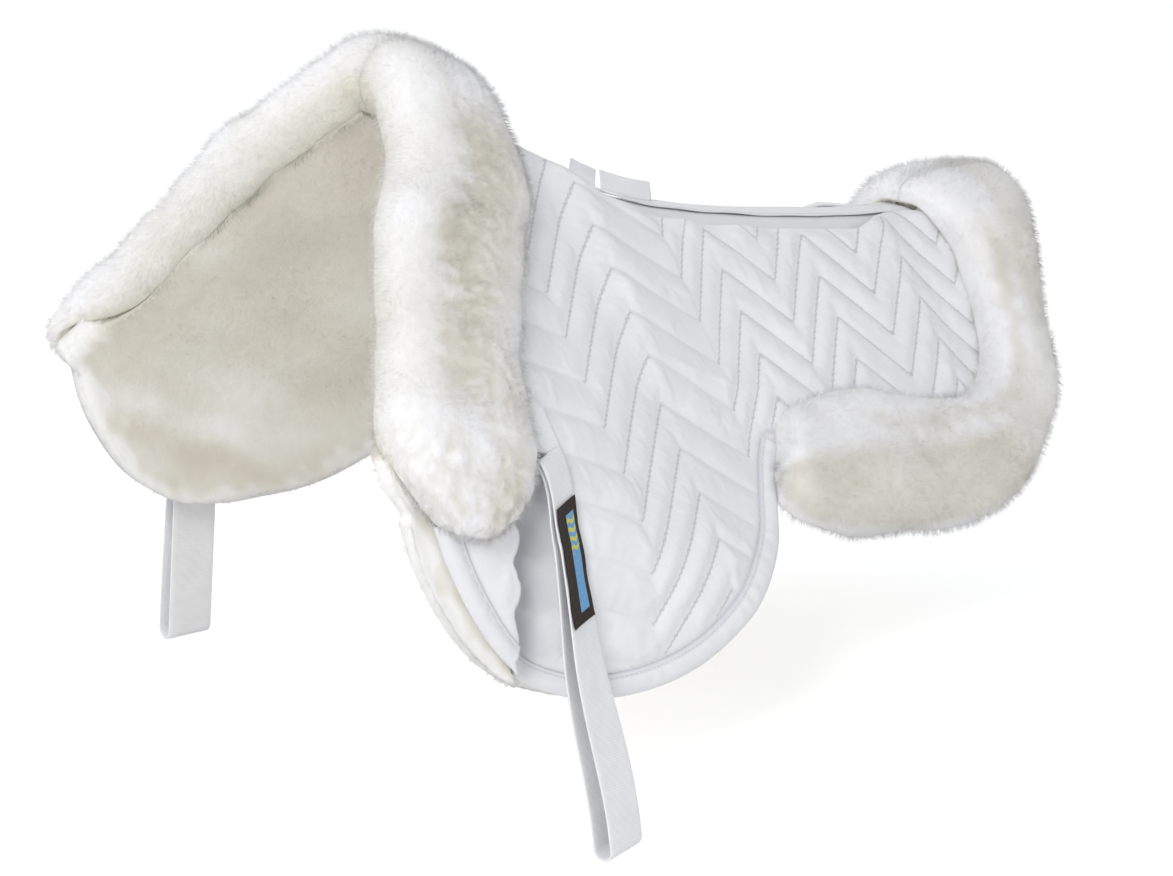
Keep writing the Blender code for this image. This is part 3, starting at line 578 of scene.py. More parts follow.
def nearestOnOutline(outline, places):  # the closest place on the outline, and how far off it is
    start = outline[None]
    leg = np.roll(outline, -1, axis=0)[None] - start
    square = (leg * leg).sum(-1)
    square = np.where(square < 1e-14, 1.0, square)
    nearest, distance = np.zeros_like(places), np.zeros(len(places))
    for part in np.array_split(np.arange(len(places)), max(1, len(places) // 8000)):
        away = places[part, None] - start
        share = np.clip((away * leg).sum(-1) / square, 0, 1)
        foot = start + share[..., None] * leg
        off = np.linalg.norm(places[part, None] - foot, axis=-1)
        best = off.argmin(axis=1)
        nearest[part] = foot[np.arange(len(part)), best]
        distance[part] = off[np.arange(len(part)), best]
    return nearest, distance


def borderEdges(quads):  # the directed edges that only one cell uses
    start = quads.ravel()
    end = np.roll(quads, -1, axis=1).ravel()
    key = np.minimum(start, end).astype(np.int64) * (start.max() + 1) + np.maximum(start, end)
    _, index, count = np.unique(key, return_index=True, return_counts=True)
    single = index[count == 1]
    return np.stack([start[single], end[single]], axis=1)


def panelGrid(outline, step):
    # square cells whose middles lie inside the outline, the border's points pulled onto it
    low, high = outline.min(axis=0), outline.max(axis=0)
    columns = int(math.ceil((high[0] - low[0]) / step)) + 1
    rows = int(math.ceil((high[1] - low[1]) / step)) + 1
    x, y = low[0] + np.arange(columns) * step, low[1] + np.arange(rows) * step
    xs, ys = np.meshgrid(x, y, indexing="ij")
    flat = np.stack([xs.ravel(), ys.ravel()], axis=1)
    quads = gridQuads(columns, rows)
    quads = quads[insideOutline(outline, flat[quads].mean(axis=1))]
    used, quads = np.unique(quads, return_inverse=True)
    flat, quads = flat[used], quads.reshape(-1, 4)
    rim = np.unique(borderEdges(quads))
    flat[rim] = nearestOnOutline(outline, flat[rim])[0]
    return flat, quads


def closedShell(side, flat, quads, lowLift, highLift, bulge=0.0, rows=0, highPlaces=None):
    # the grid twice, at its low and its high lift, and a wall round the border
    # the wall has rows between, which bulge outwards by bulge * sin(pi * share) ** 0.7
    top = placed(np.column_stack([flat, highLift]), side)[0] if highPlaces is None else highPlaces
    bottom = placed(np.column_stack([flat, lowLift]), side)[0]
    count = len(flat)
    rim = borderEdges(quads)
    border = np.unique(rim)
    order = np.full(count, -1)
    order[border] = np.arange(len(border))
    points = [top, bottom]
    index = [np.arange(count)]
    if rows:
        ways = flat[rim[:, 1]] - flat[rim[:, 0]]
        out = np.zeros((count, 2))
        for end in (0, 1):
            np.add.at(out, rim[:, end], np.stack([ways[:, 1], -ways[:, 0]], axis=1))
        out = out / np.maximum(np.linalg.norm(out, axis=1, keepdims=True), 1e-9)
        high = np.full(count, highLift) if np.isscalar(highLift) else highLift
        for row in range(1, rows + 1):
            share = row / (rows + 1)
            place = flat[border] + out[border] * bulge * math.sin(math.pi * share) ** 0.7
            lift = high[border] + (lowLift[border] - high[border]) * share
            points.append(placed(np.column_stack([place, lift]), side)[0])
            index.append(np.where(order >= 0, 2 * count + (row - 1) * len(border) + order, -1))
    index.append(np.arange(count) + count)
    walls = [
        np.column_stack([upper[rim[:, 1]], upper[rim[:, 0]], lower[rim[:, 0]], lower[rim[:, 1]]])
        for upper, lower in zip(index[:-1], index[1:])
    ]
    return np.concatenate(points), quads, np.concatenate(walls), quads[:, ::-1] + count, border


def thinSheet(name, upper, under, columns, finish, marks=None):
    # a cloth strip: two grids of places, row by row, and a wall round them
    count = len(upper)
    quads = gridQuads(count // columns, columns)
    rim = borderEdges(quads)
    wall = np.column_stack([rim[:, 1], rim[:, 0], rim[:, 0] + count, rim[:, 1] + count])
    made = makeMesh(name, np.concatenate([upper, under]), [quads, wall, quads[:, ::-1] + count], finish,
                    marks={mark: np.tile(value.ravel(), 2) for mark, value in (marks or {}).items()})
    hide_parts(name)
    return made


# Quilted covers

quilting = {
    "pitch": 0.0335,
    "zigzag": 0.059,
    "columnStart": 0.015,
    "columnStep": 0.044,
    "wideStep": 0.068,
    "wideFrom": -2,
    "rowStart": 0.0565,
    "rowClimb": -0.40,
    "rowCurve": 1.08,
    "stitchedLift": 0.0030,
    "puff": 0.0050,
    "puffWidth": 0.0055,  # how far from a stitch the swell rises
    "mostRise": 1.35,  # the simulated rise is cut off at this many times the puff
    "cell": 0.0028,
    "hem": 0.0128,
    "mouthWave": 0.0014,
    "pressure": 3.2,
    "spare": 0.06,  # how much wider the cloth is than what it covers
    "heldStitch": 0.0006,  # the cloth is held this close to a stitch, to its edge and to the flap's edge
    "heldEdge": 0.0025,
    "heldBound": 0.008,
    "mostSlide": 0.0012,
    "mostSink": 0.0010,
    "calmWidth": 0.0035,  # how near a stitch the simulated puckers fade
    "shares": (0.62, 0.46),  # how much of the swell's formula and of the simulated rise is used
}


def quiltColumns():
    steps = np.arange(-8, 8)
    wide = np.minimum(steps - quilting["wideFrom"], 0)
    places = quilting["columnStart"] + quilting["columnStep"] * steps
    return places + (quilting["wideStep"] - quilting["columnStep"]) * wide


def rowOffset(along):  # how far down a row lies: a curve over the pad plus the zigzag
    columns = quiltColumns()
    turns = np.where(np.arange(len(columns)) % 2 == 0, 1.0, 0.0)
    zigzag = np.interp(along, columns, turns) * quilting["zigzag"]
    return quilting["rowStart"] + quilting["rowClimb"] * along + quilting["rowCurve"] * along**2 + zigzag


def stitchRows(flat):
    # the place's row as a running number, the way square to its row, how far off the row it is,
    # and how steeply the row runs
    step = 0.0005
    slope = (rowOffset(flat[:, 0] + step) - rowOffset(flat[:, 0] - step)) / (2 * step)
    row = (flat[:, 1] - rowOffset(flat[:, 0])) / quilting["pitch"]
    level = np.sqrt(1 + slope * slope)
    off = (row - np.round(row)) * quilting["pitch"] / level
    return row, np.column_stack([-slope, np.ones(len(flat))]) / level[:, None], off, np.abs(slope)


def pocketShare(flat):  # 1 over the shims, falling to 0 below, in front and behind, and close to the band
    downwards = np.interp(flat[:, 1], [pocketBottom, rampEnd], [1.0, 0.0])
    front, rear, (top, below) = pockets["liftFront"], pockets["liftRear"], pockets["liftTop"]
    lengthwise = smoothStep((flat[:, 0] - pockets["front"] + front) / front)
    lengthwise = lengthwise * smoothStep((pockets["rear"] + rear - flat[:, 0]) / rear)
    return downwards * lengthwise * smoothStep((flat[:, 1] - top) / below)


def puffedSheet(points, quads, held, pressure, spare, frames=20):
    # cloth held along its stitches and blown up a little, with some spare width for the puckers
    mesh = bpy.data.meshes.new("puffing")
    mesh.from_pydata(points.tolist(), [], quads.tolist())
    made = bpy.data.objects.new("puffing", mesh)
    bpy.context.scene.collection.objects.link(made)
    group = made.vertex_groups.new(name="held")
    group.add(np.where(held)[0].tolist(), 1.0, "REPLACE")
    cloth = made.modifiers.new("cloth", "CLOTH")
    settings = cloth.settings
    settings.vertex_group_mass = "held"
    settings.quality = 5
    settings.mass = 0.15
    settings.tension_stiffness = 12
    settings.compression_stiffness = 8
    settings.shear_stiffness = 6
    settings.bending_stiffness = 0.06
    settings.use_pressure = True
    settings.uniform_pressure_force = pressure
    settings.shrink_min = -spare
    settings.effector_weights.gravity = 0
    cloth.collision_settings.use_collision = False
    cloth.point_cache.frame_start, cloth.point_cache.frame_end = 1, frames
    for moment in range(1, frames + 1):
        bpy.context.scene.frame_set(moment)
    posed = made.evaluated_get(bpy.context.evaluated_depsgraph_get())
    result = np.empty(len(points) * 3)
    posed.data.vertices.foreach_get("co", result)
    bpy.data.objects.remove(made, do_unlink=True)
    bpy.data.meshes.remove(mesh)
    bpy.context.scene.frame_set(1)
    return result.reshape(-1, 3)


def quiltedCover(side):
    # the swell between stitches is puff * (1 - exp(-(distance to the stitch / puffWidth) ^ 1.4)),
    # uneven over the cover and fading at its edges
    outline = panelOutline(side, layers["mouthDown"], sewn=layers["bandEdge"])
    flat, quads = panelGrid(outline, quilting["cell"])
    edge = nearestOnOutline(outline, flat)[1]
    bound = flapDistance(flat, side)
    sewn = smoothStep((bound - quilting["hem"] - 0.001) / 0.003)
    if furrow["depth"][side]:  # the ridge is pulled smooth, and so is the furrow's floor
        pulled = smoothStep((flat[:, 1] - furrow["start"] + 0.01) / 0.03)
        sewn = sewn * (1 - pulled * (1 - smoothStep((flat[:, 0] - furrow["bottom"] - 0.020) / 0.014)))
    row, square, off, _ = stitchRows(flat)
    snapped = (np.abs(off) < 0.55 * quilting["cell"]) & (edge > quilting["cell"]) & (sewn > 0.5)
    flat = flat - square * (off * snapped)[:, None]
    row, _, off, steep = stitchRows(flat)
    seam = np.minimum(np.where(sewn > 0.5, np.abs(off), 1.0), np.abs(bound - quilting["hem"]))
    underside = layers["coverLift"] * pocketShare(flat) + layers["gap"]
    wavy = quilting["mouthWave"] * bump(flat[:, 1], layers["mouthDown"], 0.012)
    wavy = wavy * ripple(flat[:, :1], 0.055, 11) * pocketShare(flat)
    high = underside + quilting["stitchedLift"] + wavy
    start, normal = placed(np.column_stack([flat, high]), side)
    inside = smoothStep((np.minimum(edge, bound - 0.004) - 0.002) / 0.007)
    uneven = 0.82 + 0.30 * ripple(np.column_stack([flat, 0 * edge]), 0.060, 15)
    swell = quilting["puff"] * (1 - np.exp(-((seam / quilting["puffWidth"]) ** 1.4))) * inside * uneven
    held = (seam < quilting["heldStitch"]) | (edge < quilting["heldEdge"])
    held = held | (bound < quilting["heldBound"])
    blown = puffedSheet(start, quads, held, quilting["pressure"], quilting["spare"])
    move = blown - start
    rise = (move * normal).sum(axis=1)
    slide = move - normal * rise[:, None]
    far = np.maximum(np.linalg.norm(slide, axis=1), 1e-9)
    slide = slide * np.minimum(1.0, quilting["mostSlide"] / far)[:, None]
    calm = 1 - bump(seam, 0, quilting["calmWidth"])
    rise = np.clip(rise, -quilting["mostSink"], quilting["puff"] * quilting["mostRise"]) * calm * inside
    rise = quilting["shares"][0] * swell + quilting["shares"][1] * rise
    top = start + normal * rise[:, None] + slide * calm[:, None]
    print(side, "cover puffed: mean rise", round(float(rise.mean()) * 1000, 2), "mm")
    hemLine = bump(bound, quilting["hem"], 0.0015) * 0.6
    # painted shadow: behind the flap's front ridge the furrow's valley is darkened through the mark "seam",
    # as if the ridge shaded it
    behind = behindRidge(flat[:, 0], flat[:, 1])
    shade = smoothStep(behind / 0.004) * (1 - smoothStep((behind - 0.010) / 0.026))
    shade = 0.78 * shade * smoothStep((flat[:, 1] - furrow["start"]) / 0.03) * (furrow["depth"][side] > 0)
    # painted shade in the stitched grooves: the mark "steep" makes it darker on the steeper rows
    marks = {
        "seam": np.clip(np.maximum(hemLine, shade), 0, 1),
        "row": row,
        "steep": np.clip(0.08 + 0.50 * steep, 0, 0.80) * sewn,
    }
    points, upper, wall, lower, _ = closedShell(side, flat, quads, underside, None, highPlaces=top)
    made = makeMesh(side + "_quilted_cover", points, [upper, wall, lower], cloths["quiltedCotton"],
                    marks={mark: np.tile(value, 2) for mark, value in marks.items()})
    smoother = made.modifiers.new("smooth", "SUBSURF")
    smoother.levels = smoother.render_levels = 1
    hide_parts(side + "_quilted_cover")
    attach(made, side + "_side")


for side in sides:
    quiltedCover(side)
print("quilted covers made")

# Pile: fine tapering tufts that lean along the lie of the wool and gather into locks


def addPile(name, roots, normals, lie, facts, woolAndShade, finish, seed):
    # a tuft is a three-sided spike: its tip is root + length * (lean * lie + sqrt(1 - lean^2) * normal),
    # drawn part of the way to the nearest lock's own tip
    draw = np.random.default_rng(seed)
    count = len(roots)
    lie = lie + draw.normal(scale=facts["scatter"], size=(count, 3))
    lie = unitRows(lie - normals * (lie * normals).sum(axis=1, keepdims=True))
    lean = draw.uniform(*facts["lean"], count)[:, None]
    size = facts["length"] * draw.uniform(0.6, 1.3, count)[:, None]
    tip = roots + size * (lean * lie + np.sqrt(1 - lean**2) * normals)
    lock = draw.choice(count, size=facts["locks"], replace=False)
    nearest = np.zeros(count, int)
    centres = roots[lock].astype(np.float32)
    half = 0.5 * (centres**2).sum(axis=1)
    for part in np.array_split(np.arange(count), max(1, count // 4000)):
        nearest[part] = (half - roots[part].astype(np.float32) @ centres.T).argmin(axis=1)
    tip = tip + (tip[lock][nearest] - tip) * facts["gather"] * draw.uniform(0.4, 1.0, count)[:, None]
    axis = unitRows(tip - roots)
    across = unitRows(np.cross(axis, normals + 0.01))
    other = np.cross(axis, across)
    thick = facts["width"] * draw.uniform(0.7, 1.3, count)[:, None]
    foot = roots - normals * facts["sunk"]
    points = np.zeros((count, 4, 3))
    for k in range(3):
        turn = 2 * math.pi * k / 3
        points[:, k] = foot + (across * math.cos(turn) + other * math.sin(turn)) * thick
    points[:, 3] = tip
    base = np.arange(count)[:, None] * 4
    faces = np.concatenate([base + [[k, (k + 1) % 3, 3]] for k in range(3)] + [base + [[2, 1, 0]]])
    # painted shade and light: each tuft is a little darker at its foot and lighter at its tip
    tone = woolAndShade + draw.normal(scale=0.05, size=count)
    footTone = np.repeat((tone - facts["rootShade"])[:, None], 3, 1)
    shade = np.clip(np.column_stack([footTone, tone + facts["tipShade"]]), 0, 1)
    made = makeMesh(name, points.reshape(-1, 3), [faces], finish, marks={"woolAndShade": shade.ravel()})
    # a tuft is lit partly as the wool round it and partly as a round hair
    spread = np.repeat(normals[:, None], 4, axis=1) * 0.55
    spread[:, :3] = spread[:, :3] + (points[:, :3] - foot[:, None]) / thick[:, None] * 0.45
    made.data.normals_split_custom_set_from_vertices(unitRows(spread.reshape(-1, 3)))
    made.visible_shadow = False  # so fine a pile doesn't speckle the wool below it
    return made


def scatter(points, quads, marks, count, seed):
    # places spread over the faces in proportion to their area, with the marks mixed from the corners
    draw = np.random.default_rng(seed)
    corners = points[quads]
    area = np.linalg.norm(np.cross(corners[:, 2] - corners[:, 0], corners[:, 3] - corners[:, 1]), axis=1)
    pick = draw.choice(len(quads), size=count, p=area / area.sum())
    a, b = draw.random((2, count, 1))
    weights = np.concatenate([(1 - a) * (1 - b), a * (1 - b), a * b, (1 - a) * b], axis=1)
    place = (corners[pick] * weights[:, :, None]).sum(axis=1)
    spread = [weights if mark.ndim == 1 else weights[:, :, None] for mark in marks]
    return place, [(mark[quads[pick]] * share).sum(axis=1) for mark, share in zip(marks, spread)]


# Fleece rolls

rolls = {
    "front": {
        "endShare": 0.12,  # the share of the roll's length that rounds off at its end
        "blunt": 0.45,
        "seed": 21,
        "lip": 0.27,
        "flankShade": 0.40,
        "parting": 0.57,
        "partDepth": 0.0018,
        "partWidth": 0.13,
        "shaggy": 0.95,
        "crest": 0.0030,
        "lower": 0.0,
    },
    "rear": {
        "endShare": 0.06,
        "blunt": 0.32,
        "seed": 41,
        "lip": 0.30,
        "flankShade": 0.06,
        "parting": 0.30,
        "partDepth": 0.0006,
        "partWidth": 0.12,
        "shaggy": 0.10,
        "crest": -0.0050,
        "lower": 0.0025,
    },
}
rollShape = {
    "low": -0.0215,
    "raised": -0.0005,
    "widest": 0.008,
    "high": 0.0385,
    "inset": 0.0022,
    "squareAcross": 0.72,
    "squareUp": 0.80,
    "stations": 210,
    "round": 122,
}
rollWaves = {  # the height and the wavelength of each kind of unevenness, two wavelengths for the last
    "lump": (0.0018, 0.080),
    "smallLump": (0.0004, 0.030),
    "curl": (0.0008, 0.014),
    "smallCurl": (0.0006, 0.0065),
    "tousle": (0.0009, 0.017, 0.008),
    "drawn": [1.0, 0.45, 1.0],  # curls are drawn out down the side
}
rollPile = {
    "tufts": 34000,
    "locks": 3300,
    "gather": 0.36,
    "length": 0.0066,
    "width": 0.00015,
    "sunk": 0.0008,
    "lean": (0.40, 0.90),
    "scatter": 0.45,
    "rootShade": 0.04,
    "tipShade": 0.05,
    "crossing": 500,  # tufts that lie across the seam where both sides' rolls meet
    "crossingHalf": 0.008,
}


def rollSection(kind, side):
    # an oval section, x = |cos|^0.72 and z = |sin|^0.80, between the roll's two edges, lower under its lip,
    # carried from the spine and rounded off at its end
    # it gives the flat places, how far along, across and upright each one is, and how full the section is
    facts = rolls[kind]
    stations, count = rollShape["stations"], rollShape["round"]
    outer, inner = edgeLine(kind + "Outer", side, stations), edgeLine(kind + "Inner", side, stations)
    value = np.linspace(0, 1, stations)[:, None]
    turn = np.linspace(0, 2 * np.pi, count, endpoint=False)[None]
    ending = np.clip((value - 1 + facts["endShare"]) / facts["endShare"], 0, 1)
    full = (np.sqrt(np.clip(1 - ending**2, 0, 1)) * 0.999 + 0.001) ** facts["blunt"]
    across = 0.5 + 0.5 * np.sign(np.cos(turn)) * np.abs(np.cos(turn)) ** rollShape["squareAcross"] * full
    upright = np.sign(np.sin(turn)) * np.abs(np.sin(turn)) ** rollShape["squareUp"] * full
    width = np.linalg.norm(outer - inner, axis=1)[:, None]
    across = 0.5 + (across - 0.5) * (1 - 2 * rollShape["inset"] / width)
    flat = inner[:, None] + across[..., None] * (outer - inner)[:, None]
    flat[..., 1] = np.maximum(flat[..., 1], 0.0)
    lip = smoothStep((across - 1 + lipShare(kind, value) + 0.04) / 0.10)
    low = rollShape["raised"] + (rollShape["low"] - rollShape["raised"]) * lip
    widest, high = rollShape["widest"], rollShape["high"] - rollShape["inset"] - facts["lower"]
    lift = widest + np.where(upright > 0, high - widest, widest - low) * upright
    lift = lift + facts["crest"] * bump(value, 0, 0.07) * smoothStep(upright / 0.9)
    return np.concatenate([flat, lift[..., None]], axis=-1), value, across, upright, full


def fleeceRoll(kind, side):
    # the section is moved along its normals by lumps, by curls and by the parting, a groove along its top;
    # the mark "woolAndShade" follows the same unevenness as painted shade, and paints cream shade on the
    # flank, underside and outer band
    facts = rolls[kind]
    seed = facts["seed"]
    flat, value, across, upright, full = rollSection(kind, side)
    stations, count = across.shape
    top = smoothStep((upright + 0.1) / 0.6)
    drift = 0.05 * ripple(value, 0.35, 5)[:, None] + 0.02 * ripple(value, 0.06, 6)[:, None]
    groove = bump(across - drift, facts["parting"], facts["partWidth"])
    groove = groove * top * smoothStep((value - 0.04) / 0.16) * smoothStep((0.86 - value) / 0.10)

    high, wave = rollWaves["lump"]
    smallHigh, smallWave = rollWaves["smallLump"]
    lumps = high * ripple(flat, wave, seed) + smallHigh * ripple(flat, smallWave, seed + 1)
    drawn = flat * rollWaves["drawn"]
    high, wave = rollWaves["curl"]
    smallHigh, smallWave = rollWaves["smallCurl"]
    curls = high * (np.abs(ripple(drawn, wave, seed + 2)) - 0.6)
    curls = curls + smallHigh * (np.abs(ripple(drawn, smallWave, seed + 6)) - 0.6)
    shaggy = 0.12 + facts["shaggy"] * bump(across, facts["parting"] - 0.10, 0.20) * top
    high, wave, smallWave = rollWaves["tousle"]
    tousled = np.abs(ripple(flat, wave, seed + 8)) + 0.6 * np.abs(ripple(flat, smallWave, seed + 9)) - 1
    tousled = high * tousled * smoothStep((value - 0.76) / 0.14) * (kind == "front")
    swell = lumps * np.minimum(1, full * 1.2) + tousled + curls * shaggy - facts["partDepth"] * groove

    quads = gridQuads(stations, count, closedColumns=True)
    points = placed(flat, side)[0].reshape(-1, 3)
    sign = 1.0 if signedVolume(points, quads) > 0 else -1.0
    points = points + pointNormals(points, quads) * sign * swell.reshape(-1, 1)
    points[:, 1] = np.where(value.repeat(count, 1).ravel() == 0, 0.0, points[:, 1])
    normals = pointNormals(points, quads) * sign

    # painted shade: darker underneath and under the lip, at the pinch by the spine seam, in the parting
    # groove and on the flank away from the light; lighter on top and on the lumps and curls
    under = smoothStep((-upright + 0.1) / 0.8)
    pinch = bump(value, 0, 0.05) * (0.2 + 0.8 * under)
    reach = facts["parting"] + 0.22 - 0.20 * smoothStep((value - 0.62) / 0.22) + drift
    flankShade = smoothStep((reach - across) / 0.38) * top * smoothStep((value - 0.03) / 0.12)
    flankShade = flankShade * (1 - 0.45 * smoothStep((0.30 - across) / 0.20))
    woolAndShade = 0.94 + 0.06 * top - 0.20 * under - 0.30 * groove - facts["flankShade"] * flankShade
    woolAndShade = woolAndShade + 25 * lumps + 160 * curls * shaggy + 110 * tousled - 0.20 * pinch
    woolAndShade = woolAndShade - 0.30 * under * (1 - smoothStep((across - 1 + lipShare(kind, value)) / 0.16))
    if kind == "front":  # painted shade: less white on the lit outer half, and a creamier patch in the lower end
        woolAndShade = woolAndShade - (0.20 if side == "left" else 0.12) * smoothStep((across - facts["parting"]) / 0.15)
        woolAndShade = woolAndShade - 0.20 * bump(value, 0.90, 0.06) * bump(across, 0.48, 0.24) * top
    if kind == "rear":  # painted shade: darker on its outer half, more so along the seat's lower band, and a little near the spine
        outside = smoothStep((across - 0.36) / 0.22)
        woolAndShade = woolAndShade - (0.26 + 0.20 * smoothStep((value - 0.45) / 0.15)) * outside * top
        woolAndShade = woolAndShade - 0.12 * smoothStep((value - 0.02) / 0.10) * (1 - smoothStep((value - 0.2) / 0.15)) * top
    woolAndShade = np.clip(woolAndShade, 0, 1).ravel()

    ends = np.stack([points[:count].mean(axis=0), points[-count:].mean(axis=0)])
    ring = np.arange(count)
    after = (ring + 1) % count
    base = (stations - 1) * count
    first, last = np.full(count, len(points)), np.full(count, len(points) + 1)
    caps = np.concatenate([
        np.column_stack([after, ring, first]),
        np.column_stack([base + ring, base + after, last]),
    ])
    return np.concatenate([points, ends]), normals, quads, caps, np.concatenate([woolAndShade, woolAndShade[[0, -1]]])


def rollPiece(kind, side):
    seed = rolls[kind]["seed"]
    points, normals, quads, caps, woolAndShade = fleeceRoll(kind, side)
    name = side + "_" + kind + "_roll"
    roll = makeMesh(name, points, [quads, caps[:, ::-1]], fleeceRollFinish, marks={"woolAndShade": woolAndShade},
                    flatLast=True)
    marks = (normals, woolAndShade)
    roots, (rootNormals, rootWool) = scatter(points, quads, marks, rollPile["tufts"], seed + 3)
    nearSeam = np.abs(points[quads].mean(axis=1)[:, 1]) < rollPile["crossingHalf"]
    ridge = quads[nearSeam & (normals[quads].mean(axis=1)[:, 2] > 0.0)]
    more, (moreNormals, moreWool) = scatter(points, ridge, marks, rollPile["crossing"], seed + 5)
    moreNormals = unitRows(unitRows(moreNormals) + np.array([0.0, 0.0, 0.6]))
    rootNormals = np.concatenate([unitRows(rootNormals), moreNormals])
    roots, rootWool = np.concatenate([roots, more]), np.concatenate([rootWool, moreWool])
    # the wool hangs down and away from the seat and swirls, and across the seam it lies from side to side
    drop = np.array([0.0, 0.0, -0.8]) + np.array([-0.35, 0.0, 0.0]) * (1 if kind == "front" else -1)
    swirl = np.stack([ripple(roots, 0.05, 60 + k) for k in range(3)], axis=1) * 0.8
    swirl[-len(more):] = swirl[-len(more):] * 0.5 - drop + np.array([0.0, -1.2 * sides[side], 0.0])
    pile = addPile(name + "_pile", roots, rootNormals, drop + swirl, rollPile, rootWool,
                   rollTuftFinish, seed + 4)
    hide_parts(name)
    for piece in (roll, pile):
        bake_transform(piece)


for side in sides:
    for kind in rolls:
        rollPiece(kind, side)
print("fleece rolls made")

# Fleece linings

lining = {
    "cell": 0.0034,
    "bulge": 0.0045,
    "under": 0.07,
    "drawnIn": 0.45,
    "climb": 0.017,
    "climbFrom": -0.17,
    "rimWidth": 0.010,
    "lump": (0.0010, 0.08),
    "smallLump": (0.0003, 0.024),
    "bendDown": 0.372,  # where the lining folds inwards at the flap, lit above and shaded below
    "hollowBelow": 0.028,
}
liningPile = {
    "tufts": 26000,
    "locks": 2400,
    "gather": 0.40,
    "length": 0.0052,
    "width": 0.00016,
    "sunk": 0.0008,
    "lean": (0.50, 0.92),
    "scatter": 0.35,
    "rootShade": 0.02,
    "tipShade": 0.06,
}


def fleeceLining(side):
    # the panel's grid between two lifts, its rim bulging like the edge of a thick skin; its low side
    # draws up towards the edges, more so along the flap, where the mark free is 1, than under the rolls
    outline = liningOutline(side)
    flat, quads = panelGrid(outline, lining["cell"])
    edge = nearestOnOutline(outline, flat)[1]
    toFlap = flapDistance(flat, side)
    bound = smoothStep((0.0175 - toFlap) / 0.003)
    high = -layers["cloth"] - layers["gap"] - 0.0022 * bound
    low = -layers["cloth"] - layers["gap"] - layers["pile"] + 0.003
    nearRim = np.clip(edge / lining["rimWidth"], 0, 1)
    rounding = np.sqrt(np.clip(1 - (1 - nearRim) ** 2, 0, 1))
    free = (1 - smoothStep((toFlap - 0.045) / 0.02)) * smoothStep((flat[:, 1] - 0.285) / 0.03)
    rounding = rounding * free + smoothStep((edge + 0.002) / 0.030) * (1 - free)
    inside = np.column_stack([flat, np.full(len(flat), 0.0)])
    (height, wave), (smallHeight, smallWave) = lining["lump"], lining["smallLump"]
    lumps = height * ripple(inside, wave, 81) + smallHeight * (np.abs(ripple(inside, smallWave, 82)) - 0.6)
    fullness = 0.70 + 0.18 * (1 - free) + (0.12 + 0.18 * free) * rounding
    lowLift = high + (low - high) * fullness + lumps * nearRim
    # painted light and shade: lighter on the band above the fold, darker in the hollow below it and near the
    # edges tucked under the rolls' lips; it is also paler further down and along the free rim at the flap
    woolAndShade = 0.46 - 60 * lumps + 0.10 * ripple(inside, 0.12, 83) + 0.16 * smoothStep((flat[:, 1] - 0.25) / 0.12)
    bend = lining["bendDown"] + 0.006 * ripple(inside[:, :1], 0.11, 87)
    patchy = 0.6 + 0.4 * ripple(inside, 0.05, 88)
    band = bump(flat[:, 1], bend, 0.013) * 0.26 * patchy
    hollow = bump(flat[:, 1] - bend, lining["hollowBelow"], 0.014) * 0.36 * patchy
    ragged = 0.016 + 0.005 * ripple(inside, 0.018, 86)
    woolAndShade = woolAndShade + band - hollow + (0.30 * free - 0.10 * (1 - free)) * smoothStep((ragged - edge) / 0.012)
    woolAndShade = np.clip(woolAndShade, 0, 1)
    rimRows = 4
    points, upper, wall, lower, border = closedShell(
        side, flat, quads, lowLift, high, bulge=lining["bulge"], rows=rimRows)
    rim = np.tile(np.clip(woolAndShade[border] + 0.4 * free[border], 0, 1), rimRows)
    shades = np.concatenate([woolAndShade, woolAndShade, rim])
    name = side + "_fleece_lining"
    made = makeMesh(name, points, [upper, wall, lower], fleeceLiningFinish, marks={"woolAndShade": shades})
    every = np.concatenate([upper, wall, lower])
    normals = pointNormals(points, every) * (1.0 if signedVolume(points, every) > 0 else -1.0)
    hairy = np.concatenate([wall, lower])
    roots, (rootNormals, rootWool) = scatter(points, hairy, (normals, shades), liningPile["tufts"], 84)
    swirl = np.stack([ripple(roots, 0.06, 90 + k) for k in range(3)], axis=1) * 0.7
    lie = np.array([-0.3, 0.0, -0.9]) + swirl
    pile = addPile(name + "_pile", roots, unitRows(rootNormals), lie, liningPile, rootWool,
                   liningTuftFinish, 85)
    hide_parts(name)
    for piece in (made, pile):
        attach(piece, side + "_side")


for side in sides:
    fleeceLining(side)
print("fleece linings made")

# Layers inside the pockets: the cloth floor, the shims, the dividers and the closing strips

inner = {
    "liningTop": 0.006,
    "liningCell": 0.005,
    "shimLow": 0.0015,
    "shimHigh": 0.0075,
    "shimCorner": 0.014,
    "shimCell": 0.0025,
    "fuzz": 0.00012,
    "dividerTop": 0.0086,
    "dividerCell": 0.002,
    "stripCell": 0.0018,
    "loop": (0.0004, 0.0012),
    "hook": (0.0078, 0.0086),
    "stripSeam": 0.002,
}


def evenSheet(low, high, step):  # a rectangle of cells of about the given step
    counts = [max(2, int(round((high[k] - low[k]) / step)) + 1) for k in range(2)]
    axes = [np.linspace(low[k], high[k], counts[k]) for k in range(2)]
    xs, ys = np.meshgrid(*axes, indexing="ij")
    return np.stack([xs.ravel(), ys.ravel()], axis=1), gridQuads(*counts)


def roundedOutline(low, high, corner):
    turn = np.linspace(0, np.pi / 2, 12)
    centres = [(high[0] - corner, high[1] - corner), (low[0] + corner, high[1] - corner),
               (low[0] + corner, low[1] + corner), (high[0] - corner, low[1] + corner)]
    turns = [turn + k * np.pi / 2 for k in range(4)]
    return np.concatenate([
        np.column_stack([x + corner * np.cos(turn), y + corner * np.sin(turn)])
        for turn, (x, y) in zip(turns, centres)
    ])


